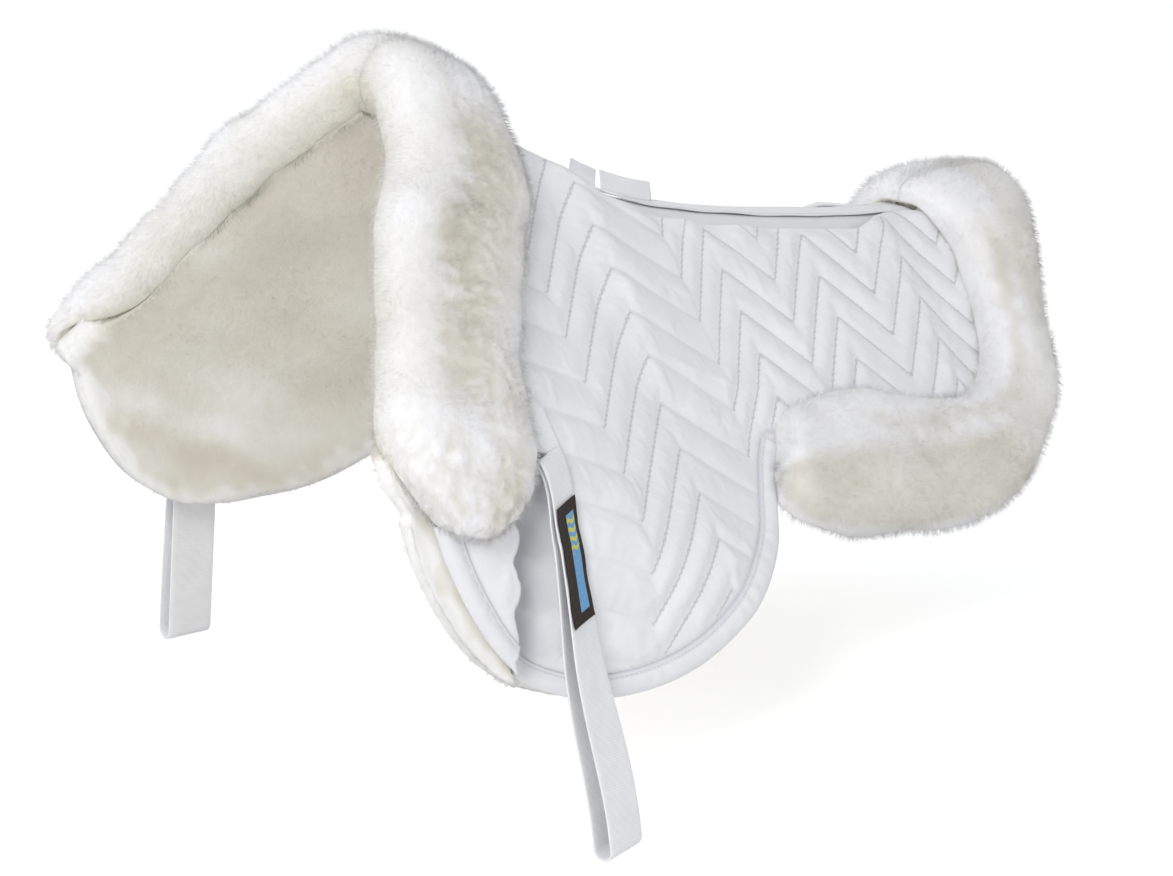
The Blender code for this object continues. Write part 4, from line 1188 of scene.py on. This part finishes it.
def flatPiece(name, side, flat, quads, low, high, finish, body, bulge=0.0, rows=0, marks=None):
    points, upper, wall, lower, border = closedShell(side, flat, quads, low, high, bulge, rows)
    values = {"seam": np.zeros(len(points))}
    for mark, value in (marks or {}).items():
        values[mark] = np.concatenate([value, value, np.tile(value[border], rows)])
    made = makeMesh(name, points, [upper, wall, lower], finish, marks=values)
    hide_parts(name)
    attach(made, body)
    return made


def pocketLining(side):
    outline = panelOutline(side, inner["liningTop"])
    flat, quads = panelGrid(outline, inner["liningCell"])
    high = np.zeros(len(flat))
    made = flatPiece(side + "_pocket_lining", side, flat, quads, high - layers["cloth"], high,
                     cloths["liningCotton"], side + "_side")


def shimPieces(side):
    for index, name in enumerate(("front", "middle", "rear")):
        start = pockets["front"] + pockets["divider"] + index * (pockets["shimLength"] + pockets["divider"])
        low = (start, pockets["shimTop"])
        high = (start + pockets["shimLength"], pockets["shimTop"] + pockets["shimDrop"])
        flat, quads = panelGrid(roundedOutline(low, high, inner["shimCorner"]), inner["shimCell"])
        fuzz = inner["fuzz"] * ripple(np.column_stack([flat, flat[:, 0]]), 0.006, 31 + index)
        full = side + "_" + name + "_shim"
        flatPiece(full, side, flat, quads, inner["shimLow"] - fuzz, inner["shimHigh"] + fuzz,
                  feltFinish, full, bulge=0.0004, rows=3)


def dividerPieces(side):
    for index in range(4):
        middle = pockets["front"] + index * (pockets["shimLength"] + pockets["divider"])
        middle = middle + pockets["divider"] / 2
        low = (middle - layers["cloth"] / 2, layers["mouthDown"] + pockets["stripWidth"] + 0.002)
        high = (middle + layers["cloth"] / 2, pocketBottom - 0.001)
        flat, quads = evenSheet(low, high, inner["dividerCell"])
        flat[:, 0] = flat[:, 0] + 0.0004 * np.sin(flat[:, 1] / 0.012)
        low, high = np.full(len(flat), layers["gap"]), np.full(len(flat), inner["dividerTop"])
        flatPiece(side + "_pocket_divider_" + str(index + 1), side, flat, quads, low, high,
                  cloths["liningCotton"], side + "_side", bulge=0.0002, rows=3)


def closingStrips(side):
    low = (pockets["front"], layers["mouthDown"] + 0.001)
    high = (pockets["rear"], layers["mouthDown"] + 0.001 + pockets["stripWidth"])
    flat, quads = evenSheet(low, high, inner["stripCell"])
    fuzz = inner["fuzz"] * ripple(np.column_stack([flat, flat[:, 0]]), 0.0024, 37)
    hem = np.minimum(flat[:, 1] - low[1], high[1] - flat[:, 1])
    row = bump(hem, inner["stripSeam"], 0.0005)
    for kind in ("loop", "hook"):
        bottom, top = inner[kind]
        upper = np.full(len(flat), top) + (fuzz if kind == "loop" else 0) - 0.0001 * row
        under = np.full(len(flat), bottom) + (fuzz if kind == "hook" else 0) + 0.0001 * row
        flatPiece(side + "_" + kind + "_strip", side, flat, quads, under, upper,
                  cloths["fasteningTape"], side + "_side", marks={"seam": row})


for side in sides:
    pocketLining(side)
    shimPieces(side)
    dividerPieces(side)
    closingStrips(side)
print("pocket linings, shims, dividers and strips made")

# Edge binding with its row of stitches

tape = {
    "leg": 0.0135,
    "thick": 0.0010,
    "top": 0.0048,
    "bottom": -0.0028,
    "wrap": 0.0026,
    "stitchIn": 0.0105,
    "stitchStep": 0.0042,
    "stitchLength": 0.0030,
    "stitchThick": 0.00032,
    "rows": 300,
}


def flapPath(side, count):
    # even places along the bound edge, the way ahead and the way inwards at each, and its length
    path = edgeLine("flap", side, 1200)
    path = path[path[:, 1] > rampEnd + pockets["boundBelow"]]
    steps = np.concatenate([[0], np.cumsum(np.linalg.norm(np.diff(path, axis=0), axis=1))])
    value = np.linspace(0, steps[-1], count)
    path = np.stack([np.interp(value, steps, path[:, k]) for k in range(2)], axis=1)
    ahead = unitRows(np.gradient(path, axis=0))
    return path, ahead, np.stack([ahead[:, 1], -ahead[:, 0]], axis=1), steps[-1]


def flapBinding(side):
    # a U of tape, its middle line offset half its thickness both ways, carried along the flap's edge
    path, _, inward, length = flapPath(side, tape["rows"])
    middle = (tape["top"] + tape["bottom"]) / 2
    line = throughPoints([
        (tape["leg"], tape["top"] - 0.0008), (tape["stitchIn"], tape["top"] - 0.0006),
        (0.006, tape["top"] + 0.0010), (0.001, tape["top"] + 0.0004), (-tape["wrap"], middle),
        (0.001, tape["bottom"]), (0.006, tape["bottom"]), (tape["leg"] - 0.001, tape["bottom"]),
    ], 40)
    ahead = unitRows(np.gradient(line, axis=0))
    beside = np.stack([-ahead[:, 1], ahead[:, 0]], axis=1) * tape["thick"] / 2
    ring = np.concatenate([line + beside, (line - beside)[::-1]])
    flat = np.zeros((len(path), len(ring), 3))
    flat[..., :2] = path[:, None] + inward[:, None] * ring[None, :, :1]
    tugs = 0.00035 * ripple(path, 0.012, 51)[:, None] * bump(ring[:, 0], 0.006, 0.004)
    flat[..., 2] = ring[None, :, 1] + tugs * np.sign(ring[:, 1] - middle)
    points = placed(flat, side)[0].reshape(-1, 3)
    rows, count = len(path), len(ring)
    quads = gridQuads(rows, count, closedColumns=True)
    half = count // 2
    strip = np.arange(half - 1)
    ends = [
        np.column_stack([base + strip, base + strip + 1, base + count - 2 - strip, base + count - 1 - strip])
        for base in (0, (rows - 1) * count)
    ]
    ends[1] = ends[1][:, ::-1]
    seam = bump(ring[:, 0], tape["leg"], 0.0012) * 0.7 + bump(ring[:, 0], tape["stitchIn"], 0.0006) * 0.6
    made = makeMesh(side + "_flap_binding", points, [quads] + ends, cloths["bindingTape"],
                    marks={"seam": np.clip(np.tile(seam, rows), 0, 1)})
    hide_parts(side + "_flap_binding")
    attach(made, side + "_side")
    bindingStitches(side, length)


def bindingStitches(side, length):
    # each stitch is a round bead drawn out along the tape: rings as thick as sqrt(1 - x^2), where x runs
    # from -1 to 1 along the stitch, and two quads over each end
    rings, corners = 7, 6
    count = int(length / tape["stitchStep"])
    path, ahead, inward, _ = flapPath(side, count)
    along = np.linspace(-0.5, 0.5, rings)
    thin = np.sqrt(np.clip(1 - (2 * along) ** 2, 0.02, 1))
    turn = np.linspace(0, 2 * np.pi, corners, endpoint=False)
    flat = np.zeros((count, rings, corners, 3))
    centre = path[:, None, None] + ahead[:, None, None] * (along * tape["stitchLength"])[None, :, None, None]
    sideways = np.cos(turn)[None, :] * thin[:, None] * tape["stitchThick"] + tape["stitchIn"]
    flat[..., :2] = centre + inward[:, None, None] * sideways[None, ..., None]
    flat[..., 2] = tape["top"] - 0.0001 + np.sin(turn)[None, :] * thin[:, None] * tape["stitchThick"]
    points = placed(flat, side)[0].reshape(-1, 3)
    cell = gridQuads(rings, corners, closedColumns=True)
    size = rings * corners
    end = size - corners
    fan = np.array([[0, 1, 2, 3], [0, 3, 4, 5]])
    fans = np.concatenate([fan[::-1, [0, 3, 2, 1]], fan + end])
    cell = np.concatenate([cell, fans if signedVolume(points[:size], cell) > 0 else fans[:, ::-1]])
    quads = (np.arange(count)[:, None, None] * size + cell[None]).reshape(-1, 4)
    made = makeMesh(side + "_binding_stitches", points, [quads], threadFinish)
    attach(made, side + "_side")


for side in sides:
    flapBinding(side)
print("bindings made")

# Girth straps: ribbed webbing folded into a long loop, under a sewn-down tail

strap = {
    "width": 0.036,
    "webbing": 0.0016,
    "along": -0.286,
    "tailTop": 0.236,
    "tailSeam": 0.258,
    "tailDrop": 0.036,
    "length": 0.266,
    "open": 0.014,
    "lean": {"left": 0.015, "right": -0.012},
    "sag": {"left": -0.010, "right": 0.0},
    "fold": 0.0016,
    "turn": {"left": math.radians(16), "right": 0.0},
    "topTurn": {"left": math.radians(15), "right": 0.0},
    "endTurn": {"left": math.radians(4), "right": 0.0},
    "ribPitch": 0.00185,
    "ribHeight": 0.00028,
    "ribSlant": 0.12,
    "pointsPerRib": 4,
    "columns": 10,
    "tuck": 0.0022,
    "seat": 0.0085,  # how high the loop lies over the quilting's underside
    "leave": 0.72,  # the share of the shoulder's bend that it follows
    "settle": 0.012,
    "tailLow": 0.0089,
    "tailFade": 0.0035,
    "tailCell": 0.0006,
}


def strapCourse(side):
    # the loop's start, and its course as (out, height): over the shoulder, then straight down
    # both sides take the course of the right one, which has no furrow
    # a turned strap is lifted by its edge, less the tuck by which that sinks into the quilting
    turnedEdge = max(0.0, 0.5 * strap["width"] * math.sin(strap["turn"][side]) - strap["tuck"])
    lift = layers["gap"] + strap["seat"] + strap["webbing"] + strap["fold"] + turnedEdge
    top = strap["tailSeam"] + strap["tailDrop"] + strap["fold"] + strap["webbing"]
    leave = pad["shoulderStart"] + strap["leave"] * pad["shoulderBend"]
    downs = np.append(np.linspace(top, leave, 6), leave + strap["settle"])
    course = placed(np.column_stack([0 * downs + strap["along"], downs, 0 * downs + lift]), "right")[0]
    start, course = course[0] * [1.0, sides[side], 1.0], course[:, 1:]
    way = unitRows(course[-1] - course[-2])
    course = course[:-1]
    used = np.linalg.norm(np.diff(course, axis=0), axis=1).sum()
    straight = [course[-1] + way * strap["settle"], course[-1] + way * (strap["length"] - used)]
    return start, np.concatenate([course, straight])


strapCourses = {side: strapCourse(side) for side in sides}


def strapSpot(side, down, out, across):
    # down the strap's course, out from it and across it, with the strap's lean, sag and twist
    start, course = strapCourses[side]
    steps = np.diff(course, axis=0)
    lengths = np.linalg.norm(steps, axis=1)
    gone = np.concatenate([[0.0], np.cumsum(lengths)])
    ways = steps / lengths[:, None]
    ways = np.concatenate([ways[:1], 0.5 * (ways[1:] + ways[:-1]), ways[-1:]])
    place = np.stack([np.interp(down, gone, course[:, k]) for k in range(2)], axis=-1)
    way = unitRows(np.stack([np.interp(down, gone, ways[:, k]) for k in range(2)], axis=-1))
    place = place + way * (down - np.clip(down, 0.0, gone[-1]))[..., None]
    place = place + np.stack([-way[..., 1], way[..., 0]], axis=-1) * out[..., None]
    turn = strap["turn"][side]
    outWay = np.array([math.sin(turn), math.cos(turn) * sides[side], 0.0])
    untwisted = smoothStep((down - 0.060) / 0.150)
    twisted = turn + strap["endTurn"][side] + strap["topTurn"][side] * (1 - untwisted)
    acrossWay = np.stack([np.cos(twisted) * sides[side], -np.sin(twisted), 0 * twisted], axis=-1)
    result = start + (place[..., :1] - course[0, 0]) * outWay
    result = result + acrossWay * across[..., None]
    sag = strap["sag"][side] * smoothStep(down / 0.050) * (1 - smoothStep((down - 0.120) / 0.130))
    result[..., 0] = result[..., 0] + strap["lean"][side] * down + sag
    result[..., 2] = result[..., 2] + place[..., 1] - course[0, 1]
    return result


def legSpread(down):  # how far the loop's outer leg stands off its inner one
    share = np.clip(down / (strap["length"] - strap["open"] / 2), 0.0, 1.0)
    return 2 * strap["fold"] + (strap["open"] - 2 * strap["fold"]) * smoothStep(share) ** 0.8


def loopLine(count):
    # the webbing's middle line as (down, out): round the top fold, down the outer leg, round the bottom
    # and up again
    turn = np.radians(np.linspace(180, 0, 14))
    fold = np.column_stack([-strap["fold"] * np.sin(turn), strap["fold"] * np.cos(turn)])
    downs = np.linspace(0, strap["length"] - strap["open"] / 2, 80)
    outer = np.column_stack([downs, legSpread(downs) - strap["fold"]])
    turn = np.radians(np.linspace(0, 180, 26))[1:-1]
    half = strap["open"] / 2
    bottom = np.column_stack([downs[-1] + half * np.sin(turn), half - strap["fold"] + half * np.cos(turn)])
    back = np.column_stack([downs[::-1], 0 * downs - strap["fold"]])
    line = np.concatenate([fold[:-1], outer, bottom, back[:-1]])
    line = np.concatenate([line, line[:1]])
    steps = np.concatenate([[0], np.cumsum(np.linalg.norm(np.diff(line, axis=0), axis=1))])
    value = np.linspace(0, steps[-1], count, endpoint=False)
    return np.stack([np.interp(value, steps, line[:, k]) for k in range(2)], axis=1), value, steps[-1]


def webbingRing(columns):
    # the webbing's section as (across, thickness): flat, with rounded selvedges
    turn = np.linspace(-np.pi / 2, np.pi / 2, 5)
    half, thick = strap["width"] / 2, strap["webbing"] / 2
    right = np.column_stack([half - thick + thick * np.cos(turn), thick * np.sin(turn)])
    across = np.linspace(half - thick, -half + thick, columns)[1:-1]
    top = np.column_stack([across, np.full(len(across), thick)])
    left = np.column_stack([-half + thick - thick * np.cos(turn[::-1]), thick * np.sin(turn[::-1])])
    bottom = np.column_stack([across[::-1], np.full(len(across), -thick)])
    return np.concatenate([right, top, left, bottom])


def ribWave(gone, across):  # 1 on a rib and -1 between two, the ribs a little slanted
    return np.cos(2 * np.pi * (gone + strap["ribSlant"] * across) / strap["ribPitch"])


def ribs(gone, across):  # rounded ribs across the webbing, ending short of the selvedges
    wave = 0.5 + 0.5 * ribWave(gone, across)
    plain = smoothStep((strap["width"] / 2 - 0.0012 - np.abs(across)) / 0.001)
    return strap["ribHeight"] * (wave**0.7 - 0.6) * plain


def girthStrap(side):
    # the webbing's section carried round the loop, with a whole number of ribs in its length
    _, _, total = loopLine(10)
    ribCount = int(total / strap["ribPitch"])
    count = ribCount * strap["pointsPerRib"]
    line, gone, total = loopLine(count)
    gone = gone * (strap["ribPitch"] * ribCount / total)
    ahead = unitRows(np.roll(line, -2, axis=0) - np.roll(line, 2, axis=0))
    outward = np.stack([-ahead[:, 1], ahead[:, 0]], axis=1)
    ring = webbingRing(strap["columns"])
    thick = ring[None, :, 1] + ribs(gone[:, None], ring[None, :, 0]) * np.sign(ring[None, :, 1])
    bow = 0.0006 * ripple(line, 0.05, 61)[:, None] * (1 - (2 * ring[None, :, 0] / strap["width"]) ** 2)
    places = line[:, None] + outward[:, None] * (thick + bow * 0.5)[..., None]
    across = np.broadcast_to(ring[:, 0], places.shape[:2])
    points = strapSpot(side, places[..., 0], places[..., 1], across)
    quads = gridQuads(count, len(ring), closedRows=True, closedColumns=True)
    edge = np.abs(ring[:, 0]) > strap["width"] / 2 - 0.0016
    # painted shade: darker in the grooves between the ribs, and a little darker along the selvedges
    between = 0.5 - 0.5 * ribWave(gone[:, None], ring[None, :, 0])
    seam = np.where(edge[None], 0.15, 0.55 * between**2)
    made = makeMesh(side + "_girth_strap", points.reshape(-1, 3), [quads], strapFinish,
                    marks={"seam": seam.ravel()})
    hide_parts(side + "_girth_strap")
    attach(made, side + "_strap")


def strapTail(side):
    # the doubled end of the webbing, sewn down flat on the quilting, with its ribs
    half = strap["width"] / 2
    bottom = strap["tailSeam"] + strap["tailDrop"] - strap["webbing"]
    flat, quads = evenSheet((strap["along"] - half, strap["tailTop"]), (strap["along"] + half, bottom),
                            strap["tailCell"])
    across = flat[:, 0] - strap["along"]
    selvedge = smoothStep((half - np.abs(across)) / 0.0012)
    fade = smoothStep((strap["tailSeam"] - flat[:, 1]) / 0.02)
    rest = strap["tailLow"] - strap["tailFade"] * fade
    high = rest + 2 * strap["webbing"] * (0.75 + 0.25 * selvedge) * (1 - 0.5 * fade)
    high = high + ribs(flat[:, 1], across)
    # painted shade in the grooves between the ribs
    between = 0.5 - 0.5 * ribWave(flat[:, 1], across)
    flatPiece(side + "_strap_tail", side, flat, quads, rest, high, strapFinish, side + "_side",
              marks={"seam": 0.55 * between**2})


woven = {
    "top": 0.031,
    "length": 0.077,
    "width": 0.033,
    "thick": 0.0005,
    "raised": 0.0003,
    "curl": 0.0006,
    "rows": 90,
    "columns": 26,
}


def wovenLabel():
    # a thin strip on the strap's outer leg, its long edges lifting a little; its UV map carries the pattern
    v, u = np.meshgrid(np.linspace(0, 1, woven["rows"]), np.linspace(0, 1, woven["columns"]), indexing="ij")
    down = woven["top"] + v * woven["length"]
    across = (u - 0.5) * woven["width"] + 0.0005 * np.sin(v * 17) * (2 * u - 1)
    face = legSpread(down) - strap["fold"] + strap["webbing"] / 2 + woven["raised"]
    curl = woven["curl"] * np.abs(2 * u - 1) ** 4 * (0.5 + 0.5 * np.sin(v * 13 + 1))
    curl = curl + 0.0004 * np.abs(2 * v - 1) ** 12
    shape = []
    for lift in (0.0, woven["thick"]):
        shape.append(strapSpot("left", down, face + lift + curl, across).reshape(-1, 3))
    made = thinSheet("woven_label", *shape, woven["columns"], wovenFinish)
    corners = np.empty(len(made.data.loops), np.int32)
    made.data.loops.foreach_get("vertex_index", corners)
    places = np.stack([np.tile(u.ravel(), 2), np.tile(v.ravel(), 2)], axis=1)
    layer = made.data.uv_layers.new(name="label")
    layer.data.foreach_set("uv", places[corners].astype(np.float32).ravel())
    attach(made, "left_strap")


for side in sides:
    girthStrap(side)
    strapTail(side)
wovenLabel()
print("straps and woven label made")

# Spine band with its two labels

band = {
    "half": 0.0125,
    "gap": 0.0009,
    "thick": 0.0012,
    "frontLap": 0.007,
    "rearLap": 0.006,
    "stitchAt": 0.0100,
    "waver": 0.0006,
    "rows": 300,
    "columns": 21,
    "labelThick": 0.0006,
    "labelRaised": 0.0008,
    "labelRows": 40,
    "labelColumns": 16,
}


def crestHeight(along):  # the spine's height above each place
    return placed(np.column_stack([along, np.zeros((len(along), 2))]), "right")[0][:, 2]


def spineBand():
    # the tape lies over the crest, a little arched, its edges a little wavy, with a stitch line at each edge
    start = edges["frontSeam"][0][0] - band["frontLap"]
    along = np.linspace(start, edges["rearInner"][0][0] + band["rearLap"], band["rows"])
    u, x = np.meshgrid(along, np.linspace(-1, 1, band["columns"]), indexing="ij")
    height = crestHeight(along) + band["gap"]
    edge = band["half"] + band["waver"] * ripple(along[:, None], 0.05, 71)[:, None] * np.abs(x) ** 3
    lift = 0.0005 * ripple(np.stack([u, x * 0.01], axis=-1), 0.05, 72) * np.abs(x) ** 2
    arch = 0.0004 * (1 - x**2)
    upper = np.stack([u, x * edge, height[:, None] + band["thick"] + lift + arch], axis=-1).reshape(-1, 3)
    seam = bump(np.abs(x) * band["half"], band["stitchAt"], 0.0006) * 0.55
    made = thinSheet("spine_band", upper, upper - [0, 0, band["thick"]], band["columns"], cloths["bandTape"],
                     marks={"seam": seam})
    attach(made, "spine")


def standingLabel(name, start, length, height, lean):
    # a folded tape standing on the band: it leans by lean * rise^2 and waves a little along its length
    along = np.linspace(start, start + length, band["labelRows"])
    u, r = np.meshgrid(along, np.linspace(0, 1, band["labelColumns"]), indexing="ij")
    foot = crestHeight(along) + band["gap"] + band["thick"] + band["labelRaised"]
    middle = lean * r**2 + 0.0006 * np.sin((u - start) / length * 7) * r
    up = foot[:, None] + height * r * (1 - 0.02 * r)
    shape = []
    for way in (-0.5, 0.5):
        thick = band["labelThick"] * way * (1 - 0.5 * r**6)
        shape.append(np.stack([u, middle + thick, up], axis=-1).reshape(-1, 3))
    made = thinSheet(name, *shape, band["labelColumns"], cloths["bandTape"],
                     marks={"seam": 0.5 * bump(r, 0.10, 0.03)})
    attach(made, "spine")


spineBand()
standingLabel("size_tab", start=-0.115, length=0.022, height=0.0125, lean=-0.0015)
standingLabel("care_label", start=-0.088, length=0.044, height=0.0140, lean=0.0020)
print("spine band and labels made")

# Camera at the photograph's angle, worked out from the picture's 1173 by 876 points

photo = {
    "width": 1173,
    "height": 876,
    "azimuth": -36.0,
    "elevation": 17.5,
    "focal": 3640.0,
    "depth": 2.6,
    "anchorX": 700.0,
    "anchorY": 210.0,
}
studio = {
    "floorTop": -0.342,
    "floorThick": 0.010,
    "floorHalf": 9,
    "floorGlow": 0.48,
    "sky": 0.57,
    "lamps": [  # name, place, what it points at, size and power
        ("key", (-2.0, -1.5, 1.45), (-0.05, -0.05, -0.05), 0.9, 32),
        ("side", (-1.6, 1.3, 0.9), (-0.2, 0.1, 0.0), 1.6, 10),
        ("fill", (0.4, -2.6, 0.9), (0.0, 0.0, -0.1), 1.6, 7),
    ],
}


def addCamera():
    # the spine's middle, at the origin, lies at the anchor, at the given depth along the view
    a, e = math.radians(photo["azimuth"]), math.radians(photo["elevation"])
    back = Vector((math.sin(a) * math.cos(e), -math.cos(a) * math.cos(e), math.sin(e)))
    right = Vector((math.cos(a), math.sin(a), 0))
    up = back.cross(right)
    sideways = (photo["anchorX"] - photo["width"] / 2) / photo["focal"]
    upwards = -(photo["anchorY"] - photo["height"] / 2) / photo["focal"]
    lens = bpy.data.cameras.new("camera")
    lens.sensor_width = 36.0
    lens.lens = photo["focal"] * lens.sensor_width / photo["width"]
    lens.clip_start = 0.05
    made = bpy.data.objects.new("camera", lens)
    bpy.context.scene.collection.objects.link(made)
    made.location = -photo["depth"] * (sideways * right + upwards * up - back)
    made.rotation_euler = Matrix((right, up, back)).transposed().to_euler()
    bpy.context.scene.camera = made


def addLamp(name, place, target, size, power):  # a soft round lamp
    lamp = bpy.data.lights.new(name, "AREA")
    lamp.shape = "DISK"
    lamp.size = size
    lamp.energy = power
    made = bpy.data.objects.new(name, lamp)
    bpy.context.scene.collection.objects.link(made)
    made.location = place
    made.rotation_euler = (Vector(target) - Vector(place)).to_track_quat("-Z", "Y").to_euler()


def seenDirectly(tree):  # 1 where the camera, a mirror or clear glass sees it, 0 for the light that it casts
    path = tree.nodes.new("ShaderNodeLightPath")
    bounced = mathNode(tree, "MAXIMUM", path.outputs["Is Glossy Ray"], path.outputs["Is Transmission Ray"])
    return mathNode(tree, "MAXIMUM", path.outputs["Is Camera Ray"], bounced)


def addFloor():
    # a wide pale sheet under the straps, seen whiter than it lights the pad, with the shadow still on it
    half, top = studio["floorHalf"], studio["floorTop"]
    corners = [(-half, -half), (half, -half), (half, half), (-half, half)]
    points = [(x, y, z) for z in (top, top - studio["floorThick"]) for x, y in corners]
    faces = [[0, 1, 2, 3], [7, 6, 5, 4], [0, 4, 5, 1], [1, 5, 6, 2], [2, 6, 7, 3], [3, 7, 4, 0]]
    made, tree, shader, place = startFinish("paleFloor", (0.9, 0.9, 0.9), 0.9)
    grain = noiseNode(tree, place, scale=30.0, detail=2.0)
    tree.links.new(rampNode(tree, grain, [(0.3, (0.90, 0.90, 0.90)), (0.7, (0.92, 0.92, 0.92))]),
                   shader.inputs["Base Color"])
    shader.inputs["Emission Color"].default_value = (1, 1, 1, 1)
    glow = mathNode(tree, "MULTIPLY", seenDirectly(tree), studio["floorGlow"])
    tree.links.new(glow, shader.inputs["Emission Strength"])
    sheet = makeMesh("floor", points, [faces], made)


def addWorld():
    # soft light all round, and plain white where the camera looks past everything
    world = bpy.data.worlds.new("studio")
    bpy.context.scene.world = world
    world.use_nodes = True
    tree = world.node_tree
    soft = tree.nodes["Background"]
    soft.inputs["Color"].default_value = (0.95, 0.97, 1.0, 1)
    soft.inputs["Strength"].default_value = studio["sky"]
    white = tree.nodes.new("ShaderNodeBackground")
    white.inputs["Color"].default_value = (1, 1, 1, 1)
    white.inputs["Strength"].default_value = 1.0
    mix = tree.nodes.new("ShaderNodeMixShader")
    tree.links.new(seenDirectly(tree), mix.inputs["Fac"])
    tree.links.new(soft.outputs["Background"], mix.inputs[1])
    tree.links.new(white.outputs["Background"], mix.inputs[2])
    tree.links.new(mix.outputs["Shader"], tree.nodes["World Output"].inputs["Surface"])


addCamera()
addFloor()
addWorld()
for lamp in studio["lamps"]:
    addLamp(*lamp)
bpy.context.scene.view_settings.view_transform = "Standard"
print("camera, floor and lamps placed")
